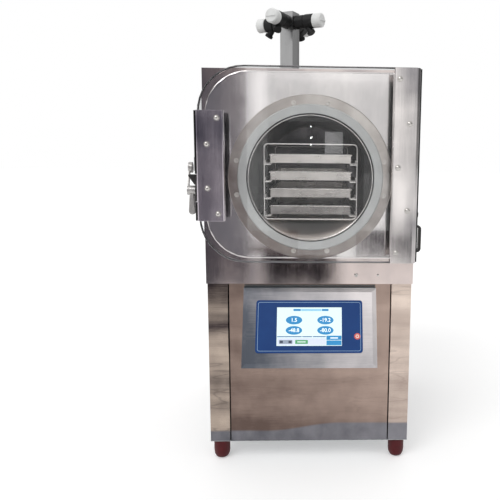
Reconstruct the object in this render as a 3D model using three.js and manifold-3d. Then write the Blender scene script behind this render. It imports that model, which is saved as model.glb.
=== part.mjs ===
// Freeze dryer: a stainless cabinet with a round vacuum chamber behind a clear hinged door, a rack of
// trays, a touch-screen console and a four-way flask manifold on the roof.
// Millimetres. +Z up, the door faces -Y, +X is the hinge side. The origin is the middle of the
// footprint, at floor level.
import * as THREE from 'three';
import { mergeVertices } from 'three/addons/utils/BufferGeometryUtils.js';
import Module from 'manifold-3d';

const wasm = await Module();
wasm.setup();

// ---- Driving dimensions ------------------------------------------------------------------------

// Fits
const gap = 0.3; // between pieces that sit against each other
const past = 5; // how far a cut runs past what it goes through
const sheet = 1.5; // cabinet sheet
const bend = 3; // outside radius of a cabinet fold
const flangeDepth = 20; // turned-in edge of a panel

// Cabinet
const bodyWidth = 600; // of the lower half
const bodyDepth = 660;
const footHeight = 62;
const deckHeight = 553; // top of the lower half
const overhang = 2.5; // of the upper half, past the lower one
const postFace = 60;
const postSide = 60;
const postReturn = 15;
const seam = 3; // between a post and its panel
const panelRecess = 0.8;
const footRadius = 24.5;
const footInset = 30;
const panClearance = 3.2; // between the base pan's upstand and the panels' edges
const panUpstand = 25;
const louvreHeight = 6;
const louvrePitch = 28;
const louvreRows = 8;
const louvreStart = 20; // first row, above the condenser's foot
const louvreSpine = 50; // between the two columns of louvres
const louvreMargin = 5; // from the power inlet

// Chamber
const chamberFacets = 56;
const deckClearance = 100; // between the chamber's jacket and the deck
const roofClearance = 90;
const chamberRadius = 177;
const chamberDepth = 560;
const drumWall = 3;
const drumCorner = 15; // inside radius, between wall and end
const flangeWidth = 52; // of the bolted ring, outside the bore
const flangeThickness = 15;
const flangeChamfer = 2;
const boltInset = 19; // of the bolt circle, from the ring's edge
const boltHole = 4.5; // radius
const boltSplay = THREE.MathUtils.degToRad(13); // of each bolt in a pair, from its axis
const gasketStep = 1; // inner edge, outside the bore
const gasketWidth = 24;
const gasketThickness = 8;
const gasketChamfer = 2.5;
const insulation = 30;
const insulationFacets = 32;
const insulationSetback = 10; // behind the front panel's flange

// Fascia, the raised plate behind the door
const fasciaRaise = 15;
const fasciaFold = 4;
const fasciaLeftInset = 9.5; // from the cabinet's edges
const fasciaRightInset = 32.5;
const fasciaTopInset = 8;
const fasciaSkirt = 1; // below the bolted ring
const fasciaCorner = 122;
const fasciaSmallCorner = 6;
const fasciaCollar = 6; // thickness of the rim round the drum

// Door
const windowThickness = 32;
const windowOverhang = 1.5; // past the cabinet's left side
const windowSkirt = 4; // below the fascia
const windowHead = 7; // above the fascia
const windowCorner = 126;
const windowSmallCorner = 6;
const windowBevel = 1.5;
const standoff = 22; // of the folded channels, in front of the window
const channelSheet = 1.8;
const hingeChannelWidth = 72;
const hingeChannelInset = 9.5; // from the cabinet's right side
const hingeChannelEnd = 4; // from the window's ends
const hingeChannelFold = 14;
const hingeChannelReturn = 5; // of its side, behind the window
const latchChannelWidth = 74.5;
const latchChannelRise = 118; // above the window's foot
const latchChannelHeight = 295;
const latchChannelFold = 8;

// Hinge
const hingeOut = 6; // of the hinge's axis, past the channel
const hingeEnd = 75; // of each lug, from the channel's ends
const rodRadius = 4;
const rodHead = 6.5;
const rodHeadHeight = 4;
const knuckleRadius = 8.5;
const knuckleClearance = 1; // from the cabinet's front
const lugThickness = 10;
const lugSeat = 17; // how far a lug lies along the channel's side
const earThickness = 8;
const earGap = 0.5; // between a lug and each ear
const leafThickness = 3;
const leafFront = 3;
const leafBack = 48;

// Latch
const latchPlate = 3;
const latchBaseDepth = 44;
const latchBaseBelow = 29; // below and above the pivot
const latchBaseAbove = 43;
const wedgeClearance = 3.6; // between the wedge and the lever's strap
const wedgeLand = 4; // height of its outer edge
const wedgeDrop = 27;
const latchPivotRise = 82; // above the channel's foot
const latchStud = 5;
const latchSpacer = 9;
const leverStandoff = 2.6; // from the plate
const leverThickness = 19;
const hubRadius = 13;
const strapThickness = 3;
const strapWidth = 16;
const rollerRadius = 15;
const rollerThickness = 10;
const rollerBack = 23; // behind and above the pivot
const rollerUp = 61;
const gripRadius = 9.5;
const gripWidth = 22;
const gripLength = 66;
const gripNeck = 11.4;
const keeperClearance = 2; // between the roller and its keeper
const keeperBelow = 10; // below and above the roller's axis
const keeperAbove = 28;
const keeperBack = 12;
const keeperNose = 5.8; // of the keeper, behind the window

// Rack and trays
const wire = 3; // half the thickness of a rack rod
const rackCorner = 10;
const rackSideClearance = 44.7; // from the bore to the middle of a side rod
const rackTopClearance = 82;
const rackRearClearance = 52.5;
const rackFront = 5;
const skidInset = 34;
const trayCount = 4;
const trayRise = 13.3; // of the lowest tray, above the rack's foot
const trayHeadroom = 4.5; // over the top tray's space
const trayInset = 11.3; // of each tray's edge, inside the rack's rods
const trayEnd = 3; // between a tray and the rack's end frames
const trayHeight = 24;
const trayLip = 3;
const traySheet = 1.5;
const railWidth = 22;
const railThickness = 2;

// Console
const consoleMargin = 44; // from the front panel's edges
const consoleDrop = 10.3; // below the deck
const consoleHeight = 214.1;
const consoleTopDepth = 10;
const consoleBottomDepth = 89;
const consoleBevel = 12;
const consoleBevelDepth = 4;
const consoleSheet = 2;
const consoleOpening = 25; // of the panel's opening, inside the console's ends
const bezelMargin = 40; // from the console's sides
const bezelHeight = 150;
const bezelThickness = 4;
const bezelCorner = 8;
const bezelLeft = 1.4; // off the face's middle
const bezelUp = 2.5;
const displayMargin = 60; // from the bezel's sides
const displayHeight = 109;
const displayThickness = 1.5;
const moduleDepth = 34;
const moduleMargin = 5;

// Flask manifold
const columnX = -72;
const columnY = 300;
const columnSide = 45.8;
const columnWall = 3;
const columnHeight = 221; // above the roof
const columnTurn = THREE.MathUtils.degToRad(-27);
const manifoldBore = 12;
const rootFlange = 96;
const rootFlangeThickness = 6;
const valveDrop = 32; // of the valves' axes, below the column's top
const valveInset = 0.4; // of a barrel's outside, from the column's edge
const valveLength = 65;
const valveGroove = 30; // from the valve's root
const valveStem = 6;
const nippleRadius = 9;
const nippleLength = 22;
const capRadius = 22;
const capLength = 30;
const capRibWidth = 5;
const capRibInset = 6;
const branchRadius = 10;
const branchLip = 13;
const branchLength = 46;
const branchTilt = THREE.MathUtils.degToRad(56);

// Right side
const handleRise = 84; // above the deck
const handleLength = 83;
const handleReach = 33;
const handleBar = 7;
const handleFold = 12;
const handleWidth = 22;
const handleY = 75;
const ventRise = 48; // above the lower hinge
const ventY = 32;
const ventKnobRadius = 8;
const ventKnobLength = 14;
const ventStem = 3;
const ventNeck = 7;
const ventBody = 22;
const ventBodyDepth = 26;
const ventOffset = 16; // of the valve's body, behind its stem

// Rear ports
const portRadius = 14;
const portBore = 12;
const portFlange = 20;
const portFlangeThickness = 3;
const portReach = 30;
const portDrop = 60; // below the chamber's axis
const inletWidth = 50;
const inletHeight = 32;
const inletInset = 110; // of its middle, from the cabinet's side
const inletZ = 140;
const inletDepth = 28;
const inletLip = 4;
const inletLipThickness = 2.5;
const socketWidth = 28;
const socketHeight = 20;
const socketDepth = 18;
const pinRadius = 1.5;
const pinPitch = 7;
const pinLength = 15;

// Machinery
const condenserWidth = 300;
const condenserHeight = 260;
const condenserDepth = 44;
const condenserClearance = 3; // from the base pan's upstand
const finPitch = 20;
const finThickness = 6;
const finFrame = 12; // solid edge round the fins
const finRoot = 8;
const fanRadius = 96;
const fanPlateThickness = 4;
const fanPlateMargin = 22;
const ductWall = 3;
const ductDepth = 34;
const ductClearance = 5;
const fanHub = 28;
const fanShaft = 4;
const fanBlades = 5;
const fanPitch = THREE.MathUtils.degToRad(28);
const bladeChord = 34;
const bladeThickness = 2.5;
const fanClearance = 0.6; // between the arms and the rotor
const motorLength = 28;
const armWidth = 10;
const armThickness = 4;
const compressorRadius = 92;
const compressorBelt = 4; // of the weld, out from the can
const compressorHeight = 240;
const compressorMargin = 52.5; // from the base pan's upstand
const compressorY = 330;
const cabinetMargin = 19.5; // of the electrical box, from the base pan's upstand
const cabinetWidth = 165;
const cabinetFront = 250;
const cabinetDepth = 170;
const cabinetHeight = 300;

// ---- Solids ------------------------------------------------------------------------------------

// A closed geometry as a solid: shared corners merged, empty triangles dropped, faces turned out.
function solid(geometry) {
  const bare = geometry.clone();
  for (const name of Object.keys(bare.attributes)) if (name !== 'position') bare.deleteAttribute(name);
  const merged = mergeVertices(bare, 1e-4);
  const points = merged.attributes.position.array;
  const triangles = [];
  let volume = 0;
  for (let i = 0; i < merged.index.count; i += 3) {
    const [a, b, c] = [0, 1, 2].map((k) => merged.index.getX(i + k));
    if (a === b || b === c || c === a) continue;
    const [p, q, r] = [a, b, c].map((k) => new THREE.Vector3().fromArray(points, 3 * k));
    volume += p.dot(q.cross(r));
    triangles.push([a, b, c]);
  }
  const outward = volume > 0 ? triangles : triangles.map(([a, b, c]) => [a, c, b]);
  return new wasm.Manifold(
    new wasm.Mesh({
      numProp: 3,
      vertProperties: new Float32Array(points),
      triVerts: new Uint32Array(outward.flat()),
    }),
  );
}

function joined(...solids) {
  return solids.reduce((whole, next) => whole.add(next));
}

function box(x0, x1, y0, y1, z0, z1) {
  const geometry = new THREE.BoxGeometry(x1 - x0, y1 - y0, z1 - z0);
  return solid(geometry.translate((x0 + x1) / 2, (y0 + y1) / 2, (z0 + z1) / 2));
}

// A box open on one side, such as a folded panel or a dish.
const openSides = {
  front: [2, -1],
  back: [3, 1],
  left: [0, -1],
  right: [1, 1],
  top: [5, 1],
};
function tray(x0, x1, y0, y1, z0, z1, openSide, wall) {
  const inner = [x0 + wall, x1 - wall, y0 + wall, y1 - wall, z0 + wall, z1 - wall];
  const [side, direction] = openSides[openSide];
  inner[side] += direction * 2 * wall;
  return box(x0, x1, y0, y1, z0, z1).subtract(box(...inner));
}

// A round bar along one axis; u and v are its centre's other two coordinates, in X, Y, Z order.
function bar(axis, radius, from, to, u, v, segments = 24) {
  const geometry = new THREE.CylinderGeometry(radius, radius, to - from, segments);
  const middle = (from + to) / 2;
  if (axis === 'x') return solid(geometry.rotateZ(Math.PI / 2).translate(middle, u, v));
  if (axis === 'y') return solid(geometry.translate(u, middle, v));
  return solid(geometry.rotateX(Math.PI / 2).translate(u, v, middle));
}

// A turned geometry about the local Y axis, from [radius, y] points.
function lathe(points, segments) {
  return new THREE.LatheGeometry(points.map(([r, y]) => new THREE.Vector2(r, y)), segments);
}

function turned(points, segments = 32) {
  return solid(lathe(points, segments));
}

function ring(inner, outer, y0, y1, chamfer, segments) {
  const profile = [[inner, y1], [inner, y0], [outer - chamfer, y0], [outer, y0 + chamfer], [outer, y1]];
  return turned([...profile, profile[0]], segments);
}

function outlineShape(points) {
  return new THREE.Shape(points.map(([u, v]) => new THREE.Vector2(u, v)));
}

function prism(points, depth, bevel = 0) {
  return new THREE.ExtrudeGeometry(outlineShape(points), {
    depth: depth - 2 * bevel,
    bevelEnabled: bevel > 0,
    bevelThickness: bevel,
    bevelSize: bevel,
    bevelOffset: -bevel,
    bevelSegments: bevel > 2 ? 2 : 1,
  }).translate(0, 0, bevel);
}

// Outlines pushed along one axis: [x, y] up Z, [x, z] along Y, and [y, z] along X.
function alongZ(points, z0, z1, bevel) {
  return solid(prism(points, z1 - z0, bevel).translate(0, 0, z0));
}
function alongY(points, y0, y1, bevel) {
  return solid(prism(points, y1 - y0, bevel).rotateX(Math.PI / 2).translate(0, y1, 0));
}
const cyclic = new THREE.Matrix4().makeBasis(
  new THREE.Vector3(0, 1, 0),
  new THREE.Vector3(0, 0, 1),
  new THREE.Vector3(1, 0, 0),
);
function alongX(points, x0, x1, bevel) {
  return solid(prism(points, x1 - x0, bevel).applyMatrix4(cyclic).translate(x0, 0, 0));
}

// Points of an arc, from one angle to another.
function arc(cx, cy, radius, start, end, steps) {
  return Array.from({ length: steps + 1 }, (_, i) => {
    const angle = start + ((end - start) * i) / steps;
    return [cx + radius * Math.cos(angle), cy + radius * Math.sin(angle)];
  });
}

// A rectangle with its own radius at each corner: lower left, lower right, upper right, upper left.
function roundedRectangle(x0, x1, y0, y1, radii) {
  const corners = [[x0, y0, 1, 1], [x1, y0, -1, 1], [x1, y1, -1, -1], [x0, y1, 1, -1]];
  return corners.flatMap(([x, y, sx, sy], i) => {
    const r = radii[i];
    const start = Math.PI + (i * Math.PI) / 2;
    const steps = r > 20 ? 10 : 3;
    return arc(x + sx * r, y + sy * r, r, start, start + Math.PI / 2, steps);
  });
}

// The section of a folded sheet. The path is the outside face, with the sheet on its left; each
// inner corner has an outside fold radius.
function folded(path, thickness, radii) {
  const outer = filleted(path, radii);
  const inner = filleted(offsetLeft(path, thickness), radii.map((r) => Math.max(r - thickness, 0.3)));
  return [...outer, ...inner.reverse()];
}

function offsetLeft(path, distance) {
  const beside = ([x, y], [dx, dy], along) => [
    x - dy * distance + dx * along,
    y + dx * distance + dy * along,
  ];
  const directions = path.slice(1).map(([x, y], i) => {
    const [dx, dy] = [x - path[i][0], y - path[i][1]];
    const length = Math.hypot(dx, dy);
    return [dx / length, dy / length];
  });
  return path.map((point, i) => {
    if (i === 0) return beside(point, directions[0], 0);
    const [bx, by] = directions[i - 1];
    if (i === path.length - 1) return beside(point, [bx, by], 0);
    const [ax, ay] = directions[i];
    const turn = Math.atan2(bx * ay - by * ax, bx * ax + by * ay);
    return beside(point, [bx, by], -distance * Math.tan(turn / 2));
  });
}

// A path with each of its inner corners, all left turns, rounded.
function filleted(path, radii, steps = 5) {
  return path.flatMap((point, i) => {
    if (i === 0 || i === path.length - 1) return [point];
    const radius = radii[i - 1];
    const [x, y] = point;
    const start = Math.atan2(y - path[i - 1][1], x - path[i - 1][0]);
    let turn = Math.atan2(path[i + 1][1] - y, path[i + 1][0] - x) - start;
    if (turn < 0) turn += 2 * Math.PI;
    const reach = radius * Math.tan(turn / 2);
    const cx = x - reach * Math.cos(start) - radius * Math.sin(start);
    const cy = y - reach * Math.sin(start) + radius * Math.cos(start);
    return arc(cx, cy, radius, start - Math.PI / 2, start - Math.PI / 2 + turn, steps);
  });
}

// ---- Materials ---------------------------------------------------------------------------------

function finish(color, metalness, roughness, opacity = 1) {
  return new THREE.MeshStandardMaterial({
    color, metalness, roughness, opacity, transparent: opacity < 1,
  });
}
const stainless = finish(0xb9b4ae, 1, 0.25);
const polished = finish(0xcfcbc6, 1, 0.12);
const chrome = finish(0xd8d8da, 1, 0.08);
const darkSteel = finish(0x5c5e60, 0.9, 0.45);
const redRubber = finish(0x3d0a0c, 0, 0.5);
const blackRubber = finish(0x161617, 0, 0.55);
const blackPlastic = finish(0x111112, 0, 0.45);
const whitePlastic = finish(0xe9ecea, 0, 0.3);
const silicone = finish(0xc9cac4, 0, 0.5, 0.9);
const acrylic = finish(0xe8efee, 0, 0.04, 0.25);
const blueFilm = finish(0x0e2a78, 0, 0.35);
const screenGlass = finish(0xdff2fb, 0, 0.1);
const foam = finish(0x2b2b2d, 0, 0.9);
const paint = finish(0x1c1d1f, 0.2, 0.5);
const zinc = finish(0x9aa0a3, 0.8, 0.5);

// ---- Assembly ----------------------------------------------------------------------------------

const machine = new THREE.Group();

function add(name, shape, material, place = [0, 0, 0], turn = 0, parent = machine) {
  const { vertProperties, triVerts } = shape.getMesh();
  const geometry = new THREE.BufferGeometry();
  geometry.setAttribute('position', new THREE.BufferAttribute(vertProperties, 3));
  geometry.setIndex(new THREE.BufferAttribute(triVerts, 1));
  geometry.computeVertexNormals();
  const mesh = new THREE.Mesh(geometry, material);
  mesh.name = name;
  mesh.position.set(...place);
  mesh.rotation.z = turn;
  parent.add(mesh);
}

// ---- Lower half --------------------------------------------------------------------------------

const halfLower = bodyWidth / 2;
const postTop = deckHeight - gap;
const panelBottom = footHeight + sheet + gap;
const panelHalf = halfLower - postFace - seam;
const panInset = panelRecess + flangeDepth + panClearance;
const panWall = halfLower - panInset;
const corners = [[-1, -1], [1, -1], [-1, 1], [1, 1]];
const cornerName = ([sx, sy]) => `${sy < 0 ? 'front' : 'rear'}_${sx < 0 ? 'left' : 'right'}`;

// A moulded rubber foot with a rounded sole.
function feet() {
  const height = footHeight - gap;
  const profile = [
    [0, 0], [footRadius - 12, 0], [footRadius - 5.5, 4], [footRadius - 1.5, 12], [footRadius, 24],
    [footRadius, height - 2], [footRadius - 2, height], [0, height],
  ];
  const foot = solid(lathe(profile, 24).rotateX(Math.PI / 2));
  for (const corner of corners) {
    const [sx, sy] = corner;
    const y = sy < 0 ? footInset : bodyDepth - footInset;
    add(`foot_${cornerName(corner)}`, foot, redRubber, [sx * (halfLower - footInset), y, 0]);
  }
}

function cornerPosts() {
  const inner = postFace - halfLower;
  const path = [[-halfLower, postSide], [-halfLower, 0], [inner, 0], [inner, postReturn]];
  const section = folded(path, sheet, [bend, bend]);
  for (const corner of corners) {
    const [sx, sy] = corner;
    const outline = section.map(([x, y]) => [-sx * x, sy < 0 ? y : bodyDepth - y]);
    add(`post_${cornerName(corner)}`, alongZ(outline, panelBottom, postTop), stainless);
  }
}

function basePan() {
  const floor = box(-halfLower, halfLower, 0, bodyDepth, footHeight, footHeight + sheet);
  const rim = footHeight + panUpstand;
  const upstand = tray(-panWall, panWall, panInset, bodyDepth - panInset, footHeight, rim, 'top', sheet);
  add('base_pan', joined(floor, upstand), darkSteel);
}

function frontPanel() {
  const near = panelRecess;
  const plate = tray(-panelHalf, panelHalf, near, near + flangeDepth, panelBottom, postTop, 'back', sheet);
  const opening = box(-bezelWidth / 2, bezelWidth / 2, near - past, near + past,
    consoleBottom + consoleOpening, consoleTop - consoleOpening);
  add('lower_front_panel', plate.subtract(opening), stainless);
}

function sidePanels() {
  const [front, back] = [postSide + seam, bodyDepth - postSide - seam];
  const outer = halfLower - panelRecess;
  const inner = outer - flangeDepth;
  const left = tray(-outer, -inner, front, back, panelBottom, postTop, 'right', sheet);
  const right = tray(inner, outer, front, back, panelBottom, postTop, 'left', sheet);
  add('lower_side_panel_left', left, stainless);
  add('lower_side_panel_right', right, stainless);
}

// The rear panel has two columns of louvres beside the power inlet.
function rearPanel() {
  const far = bodyDepth - panelRecess;
  let panel = tray(-panelHalf, panelHalf, far - flangeDepth, far, panelBottom, postTop, 'front', sheet);
  const louvreEnd = inletX - inletWidth / 2 - louvreMargin;
  for (let row = 0; row < louvreRows; row += 1) {
    const z = condenserFoot + louvreStart + row * louvrePitch;
    for (const ends of [[-louvreEnd, -louvreSpine / 2], [louvreSpine / 2, louvreEnd]]) {
      panel = panel.subtract(box(...ends, far - past, far + past, z, z + louvreHeight));
    }
  }
  panel = panel.subtract(inletBox(gap, far - past, far + past));
  add('lower_rear_panel', panel, stainless);
}

// ---- Upper half --------------------------------------------------------------------------------

const halfUpper = halfLower + overhang;
const upperFront = -overhang;
const deckTop = deckHeight + sheet;
const insideUpper = halfUpper - sheet - gap;
const flangeEdge = halfUpper - bend; // clear of the shell's folds
const drumRadius = chamberRadius + drumWall;
const drumHole = drumRadius + gap;
const jacketRadius = drumRadius + insulation;
const chamberZ = deckHeight + deckClearance + jacketRadius;
const roof = chamberZ + jacketRadius + roofClearance;
const portZ = chamberZ - portDrop;

// The two sides and the roof are one folded sheet.
function upperShell() {
  const foot = deckHeight + gap;
  const path = [[halfUpper, foot], [halfUpper, roof], [-halfUpper, roof], [-halfUpper, foot]];
  const shell = alongY(folded(path, sheet, [bend, bend]), upperFront + sheet + gap, bodyDepth)
    .subtract(columnSolid(columnSide + 2 * gap, roof - past, roof + past))
    .subtract(bar('x', ventStem + gap, halfUpper - past, halfUpper + past, ventY, ventZ));
  add('upper_shell', shell, stainless);
}

function deck() {
  const front = upperFront + sheet + gap;
  const plate = box(-insideUpper, insideUpper, front, bodyDepth - gap, deckHeight, deckTop);
  add('mid_deck', plate, darkSteel);
}

function upperFrontPanel() {
  const [foot, head] = [deckTop + gap, roof - bend];
  const plate = box(-halfUpper, halfUpper, upperFront, upperFront + sheet, deckHeight + gap, roof);
  const back = upperFront + flangeDepth;
  const flanges = tray(-flangeEdge, flangeEdge, upperFront, back, foot, head, 'back', sheet);
  add('upper_front_panel', joined(plate, flanges).subtract(drumCut(drumHole)), stainless);
}

function upperRearPanel() {
  const [foot, head] = [deckTop + gap, roof - bend];
  const front = bodyDepth - flangeDepth;
  const panel = tray(-flangeEdge, flangeEdge, front, bodyDepth, foot, head, 'front', sheet);
  const hole = bar('y', portRadius + 1, bodyDepth - past, bodyDepth + past, 0, portZ);
  add('upper_rear_panel', panel.subtract(hole), stainless);
}

// The space that the drum needs, through everything at the cabinet's front.
function drumCut(radius) {
  return bar('y', radius, fasciaFront - past, bodyDepth / 2, 0, chamberZ, chamberFacets);
}

// ---- Fascia ------------------------------------------------------------------------------------

const flangeRadius = chamberRadius + flangeWidth;
const fasciaFront = upperFront - fasciaRaise;
const fasciaLeft = fasciaLeftInset - halfUpper;
const fasciaRight = halfUpper - fasciaRightInset;
const fasciaBottom = chamberZ - flangeRadius - fasciaSkirt;
const fasciaTop = roof - fasciaTopInset;

// A pressed shell, open at the back, with a solid rim round the drum.
function fascia() {
  const outline = (inset) => {
    const radii = [fasciaCorner, fasciaSmallCorner, fasciaSmallCorner, fasciaCorner];
    return roundedRectangle(fasciaLeft + inset, fasciaRight - inset, fasciaBottom + inset,
      fasciaTop - inset, radii.map((r) => r - inset));
  };
  const back = upperFront - gap;
  const behind = box(-bodyWidth, bodyWidth, back, back + 2 * past, 0, 2 * roof);
  const outside = alongY(outline(0), fasciaFront, back + past, fasciaFold).subtract(behind);
  const inside = alongY(outline(sheet), fasciaFront + sheet, back + past, fasciaFold - sheet)
    .subtract(drumCut(drumHole + fasciaCollar));
  add('front_fascia', outside.subtract(inside).subtract(drumCut(drumHole)), stainless);
}

// ---- Vacuum chamber ----------------------------------------------------------------------------

const flangeFront = fasciaFront - flangeThickness;
const chamberBack = flangeFront + chamberDepth;

// A spun drum, closed at the rear, with a port to the roof and one to the pump.
function drum() {
  const cornerX = chamberRadius - drumCorner;
  const cornerY = chamberBack - drumCorner;
  const inside = arc(cornerX, cornerY, drumCorner, Math.PI / 2, 0, 3);
  const outside = arc(cornerX, cornerY, drumCorner + drumWall, 0, Math.PI / 2, 3);
  const profile = [
    [0, chamberBack], ...inside, [chamberRadius, flangeFront], [drumRadius, flangeFront], ...outside,
    [0, chamberBack + drumWall],
  ];
  const wall = turned(profile, chamberFacets).translate([0, 0, chamberZ])
    .subtract(bar('z', manifoldBore, chamberZ, chamberZ + drumRadius + past, columnX, columnY))
    .subtract(bar('y', portBore, chamberBack - past, chamberBack + drumWall + past, 0, portZ));
  add('chamber_drum', wall, polished);
}

function jacket() {
  const front = upperFront + flangeDepth + insulationSetback;
  const inner = drumHole / Math.cos(Math.PI / insulationFacets);
  const sleeve = ring(inner, jacketRadius, front, chamberBack - drumCorner, 2, insulationFacets)
    .translate([0, 0, chamberZ])
    .subtract(columnSolid(columnSide + 4 * gap, chamberZ, roof));
  add('chamber_insulation', sleeve, foam);
}

// The bolted ring has a pair of bolts on each side.
function flangeRing() {
  let flange = ring(drumHole, flangeRadius, flangeFront, fasciaFront - gap, flangeChamfer, chamberFacets)
    .translate([0, 0, chamberZ]);
  const boltCircle = flangeRadius - boltInset;
  for (let side = 0; side < 4; side += 1) {
    for (const splay of [-boltSplay, boltSplay]) {
      const angle = (side * Math.PI) / 2 + splay;
      const x = boltCircle * Math.cos(angle);
      const z = chamberZ + boltCircle * Math.sin(angle);
      flange = flange.subtract(bar('y', boltHole, flangeFront - past, fasciaFront + past, x, z, 12));
    }
  }
  add('chamber_flange', flange, stainless);
}

function gasket() {
  const inner = chamberRadius + gasketStep;
  const [front, back] = [windowBack + gap, flangeFront - gap];
  const seal = ring(inner, inner + gasketWidth, front, back, gasketChamfer, chamberFacets);
  add('door_gasket', seal.translate([0, 0, chamberZ]), silicone);
}

// ---- Rack and trays ----------------------------------------------------------------------------

// The rack's lower corners rest in the bore.
const rackHalf = chamberRadius - rackSideClearance;
const rackReach = chamberRadius - gap - rackCorner - wire;
const rackFoot = chamberZ - rackCorner - Math.sqrt(rackReach ** 2 - (rackHalf - rackCorner) ** 2);
const rackHead = chamberZ + chamberRadius - rackTopClearance;
const rackRear = chamberBack - rackRearClearance;
const trayBottom = rackFoot + trayRise;
const trayPitch = (rackHead - trayBottom - trayHeadroom) / trayCount;

function rackFrame(y0) {
  const outline = (offset) => {
    const side = rackHalf + offset;
    const radii = Array(4).fill(rackCorner + offset);
    return roundedRectangle(-side, side, rackFoot - offset, rackHead + offset, radii);
  };
  const y1 = y0 + 2 * wire;
  return alongY(outline(wire), y0, y1).subtract(alongY(outline(-wire), y0 - past, y1 + past));
}

function rack() {
  const [front, rear] = [rackFront + wire, rackRear - wire];
  const parts = [rackFrame(rackFront), rackFrame(rackRear - 2 * wire)];
  for (let level = 0; level < trayCount; level += 1) {
    const top = trayBottom + level * trayPitch - gap;
    const inner = rackHalf - railWidth;
    parts.push(box(inner, rackHalf, front, rear, top - railThickness, top));
    parts.push(box(-rackHalf, -inner, front, rear, top - railThickness, top));
  }
  for (const x of [skidInset - rackHalf, rackHalf - skidInset]) {
    parts.push(box(x - wire, x + wire, front, rear, rackFoot - wire, rackFoot + wire));
  }
  add('shelf_rack', joined(...parts), polished);
}

function trays() {
  const half = rackHalf - wire - trayInset;
  const front = rackFront + 2 * wire + trayEnd;
  const back = rackRear - 2 * wire - trayEnd;
  const plan = (inset, z0, z1) => box(inset - half, half - inset, front + inset, back - inset, z0, z1);
  const wall = trayLip + traySheet;
  const dish = plan(trayLip, 0, trayHeight).subtract(plan(wall, traySheet, trayHeight + past));
  const lip = plan(0, trayHeight - trayLip, trayHeight).subtract(plan(wall, 0, trayHeight + past));
  const shape = joined(dish, lip);
  for (let level = 0; level < trayCount; level += 1) {
    add(`tray_${level + 1}`, shape, polished, [0, 0, trayBottom + level * trayPitch]);
  }
}

// ---- Door --------------------------------------------------------------------------------------

const windowBack = flangeFront - gasketThickness - gap;
const windowFront = windowBack - windowThickness;
const channelFront = windowFront - standoff;
const channelRear = windowFront - gap;
const windowLeft = -halfUpper - windowOverhang;
const windowBottom = fasciaBottom - windowSkirt;
const windowTop = fasciaTop + windowHead;
const hingeChannelRight = halfUpper - hingeChannelInset;
const hingeChannelLeft = hingeChannelRight - hingeChannelWidth;
const hingeChannelBottom = windowBottom + hingeChannelEnd;
const hingeChannelTop = windowTop - hingeChannelEnd;
const windowRight = hingeChannelRight - channelSheet - gap;
const latchChannelLeft = windowLeft - gap - channelSheet;
const latchChannelRight = latchChannelLeft + latchChannelWidth;
const latchChannelBottom = windowBottom + latchChannelRise;
const latchChannelTop = latchChannelBottom + latchChannelHeight;

function doorWindow() {
  const radii = [windowCorner, windowSmallCorner, windowSmallCorner, windowCorner];
  const outline = roundedRectangle(windowLeft, windowRight, windowBottom, windowTop, radii);
  add('door_window', alongY(outline, windowFront, windowBack, windowBevel), acrylic);
}

// A folded channel down the hinge side, with a welded lug at each hinge.
function hingeChannel() {
  const path = [
    [hingeChannelLeft, channelRear], [hingeChannelLeft, channelFront], [hingeChannelRight, channelFront],
    [hingeChannelRight, windowBack + hingeChannelReturn],
  ];
  const section = folded(path, channelSheet, [bend, hingeChannelFold]);
  const lugs = hingeLevels.map((z) => {
    const [z0, z1] = [z - lugThickness / 2, z + lugThickness / 2];
    const knuckle = bar('z', knuckleRadius, z0, z1, hingeX, hingeY, 16);
    return joined(alongZ(lugOutline(), z0, z1), knuckle).subtract(hingeHole);
  });
  const channel = alongZ(section, hingeChannelBottom, hingeChannelTop);
  add('hinge_channel', joined(channel, ...lugs), stainless);
}

function latchChannel() {
  const path = [
    [latchChannelLeft, windowBack], [latchChannelLeft, channelFront], [latchChannelRight, channelFront],
    [latchChannelRight, channelRear],
  ];
  const section = folded(path, channelSheet, [latchChannelFold, bend]);
  add('latch_channel', alongZ(section, latchChannelBottom, latchChannelTop), stainless);
}

// ---- Hinge -------------------------------------------------------------------------------------

const hingeX = hingeChannelRight + hingeOut;
const hingeY = upperFront - knuckleRadius - knuckleClearance;
const hingeLevels = [hingeChannelBottom + hingeEnd, hingeChannelTop - hingeEnd];
const hingeReach = lugThickness / 2 + earGap;
const hingeOverrun = hingeReach + earThickness + rodHeadHeight;
const hingeHole = bar('z', rodRadius + gap, hingeLevels[0] - 2 * hingeOverrun,
  hingeLevels[1] + 2 * hingeOverrun, hingeX, hingeY, 16);

// From the channel's side, behind the window's edge, to the knuckle.
function lugOutline() {
  const seat = hingeChannelRight - channelSheet / 2;
  const knuckle = hingeX - knuckleRadius;
  return [
    [seat, windowBack - lugSeat], [hingeChannelRight, windowBack - lugSeat],
    [hingeX + knuckleRadius * Math.SQRT1_2, hingeY - knuckleRadius * Math.SQRT1_2], [hingeX, hingeY],
    [knuckle, hingeY], [knuckle, windowBack + leafThickness], [seat, windowBack],
  ];
}

// Each bracket is a leaf on the cabinet's side with an ear above and below the lug.
function hingeBrackets() {
  const side = halfUpper + gap;
  const root = 2 * leafFront;
  const earOutline = [
    [hingeX, hingeY - knuckleRadius], [hingeX + knuckleRadius, hingeY], [side + leafThickness, root],
    [side, root], [side, upperFront - 2 * gap], [hingeX, upperFront - 2 * gap],
  ];
  const reach = hingeReach + earThickness;
  ['lower', 'upper'].forEach((level, i) => {
    const z = hingeLevels[i];
    const leaf = box(side, side + leafThickness, leafFront, leafBack, z - reach, z + reach);
    const ears = [z - reach, z + hingeReach].map((z0) => {
      const z1 = z0 + earThickness;
      return joined(alongZ(earOutline, z0, z1), bar('z', knuckleRadius, z0, z1, hingeX, hingeY, 16));
    });
    add(`hinge_bracket_${level}`, joined(leaf, ...ears).subtract(hingeHole), stainless);
  });
}

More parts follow.
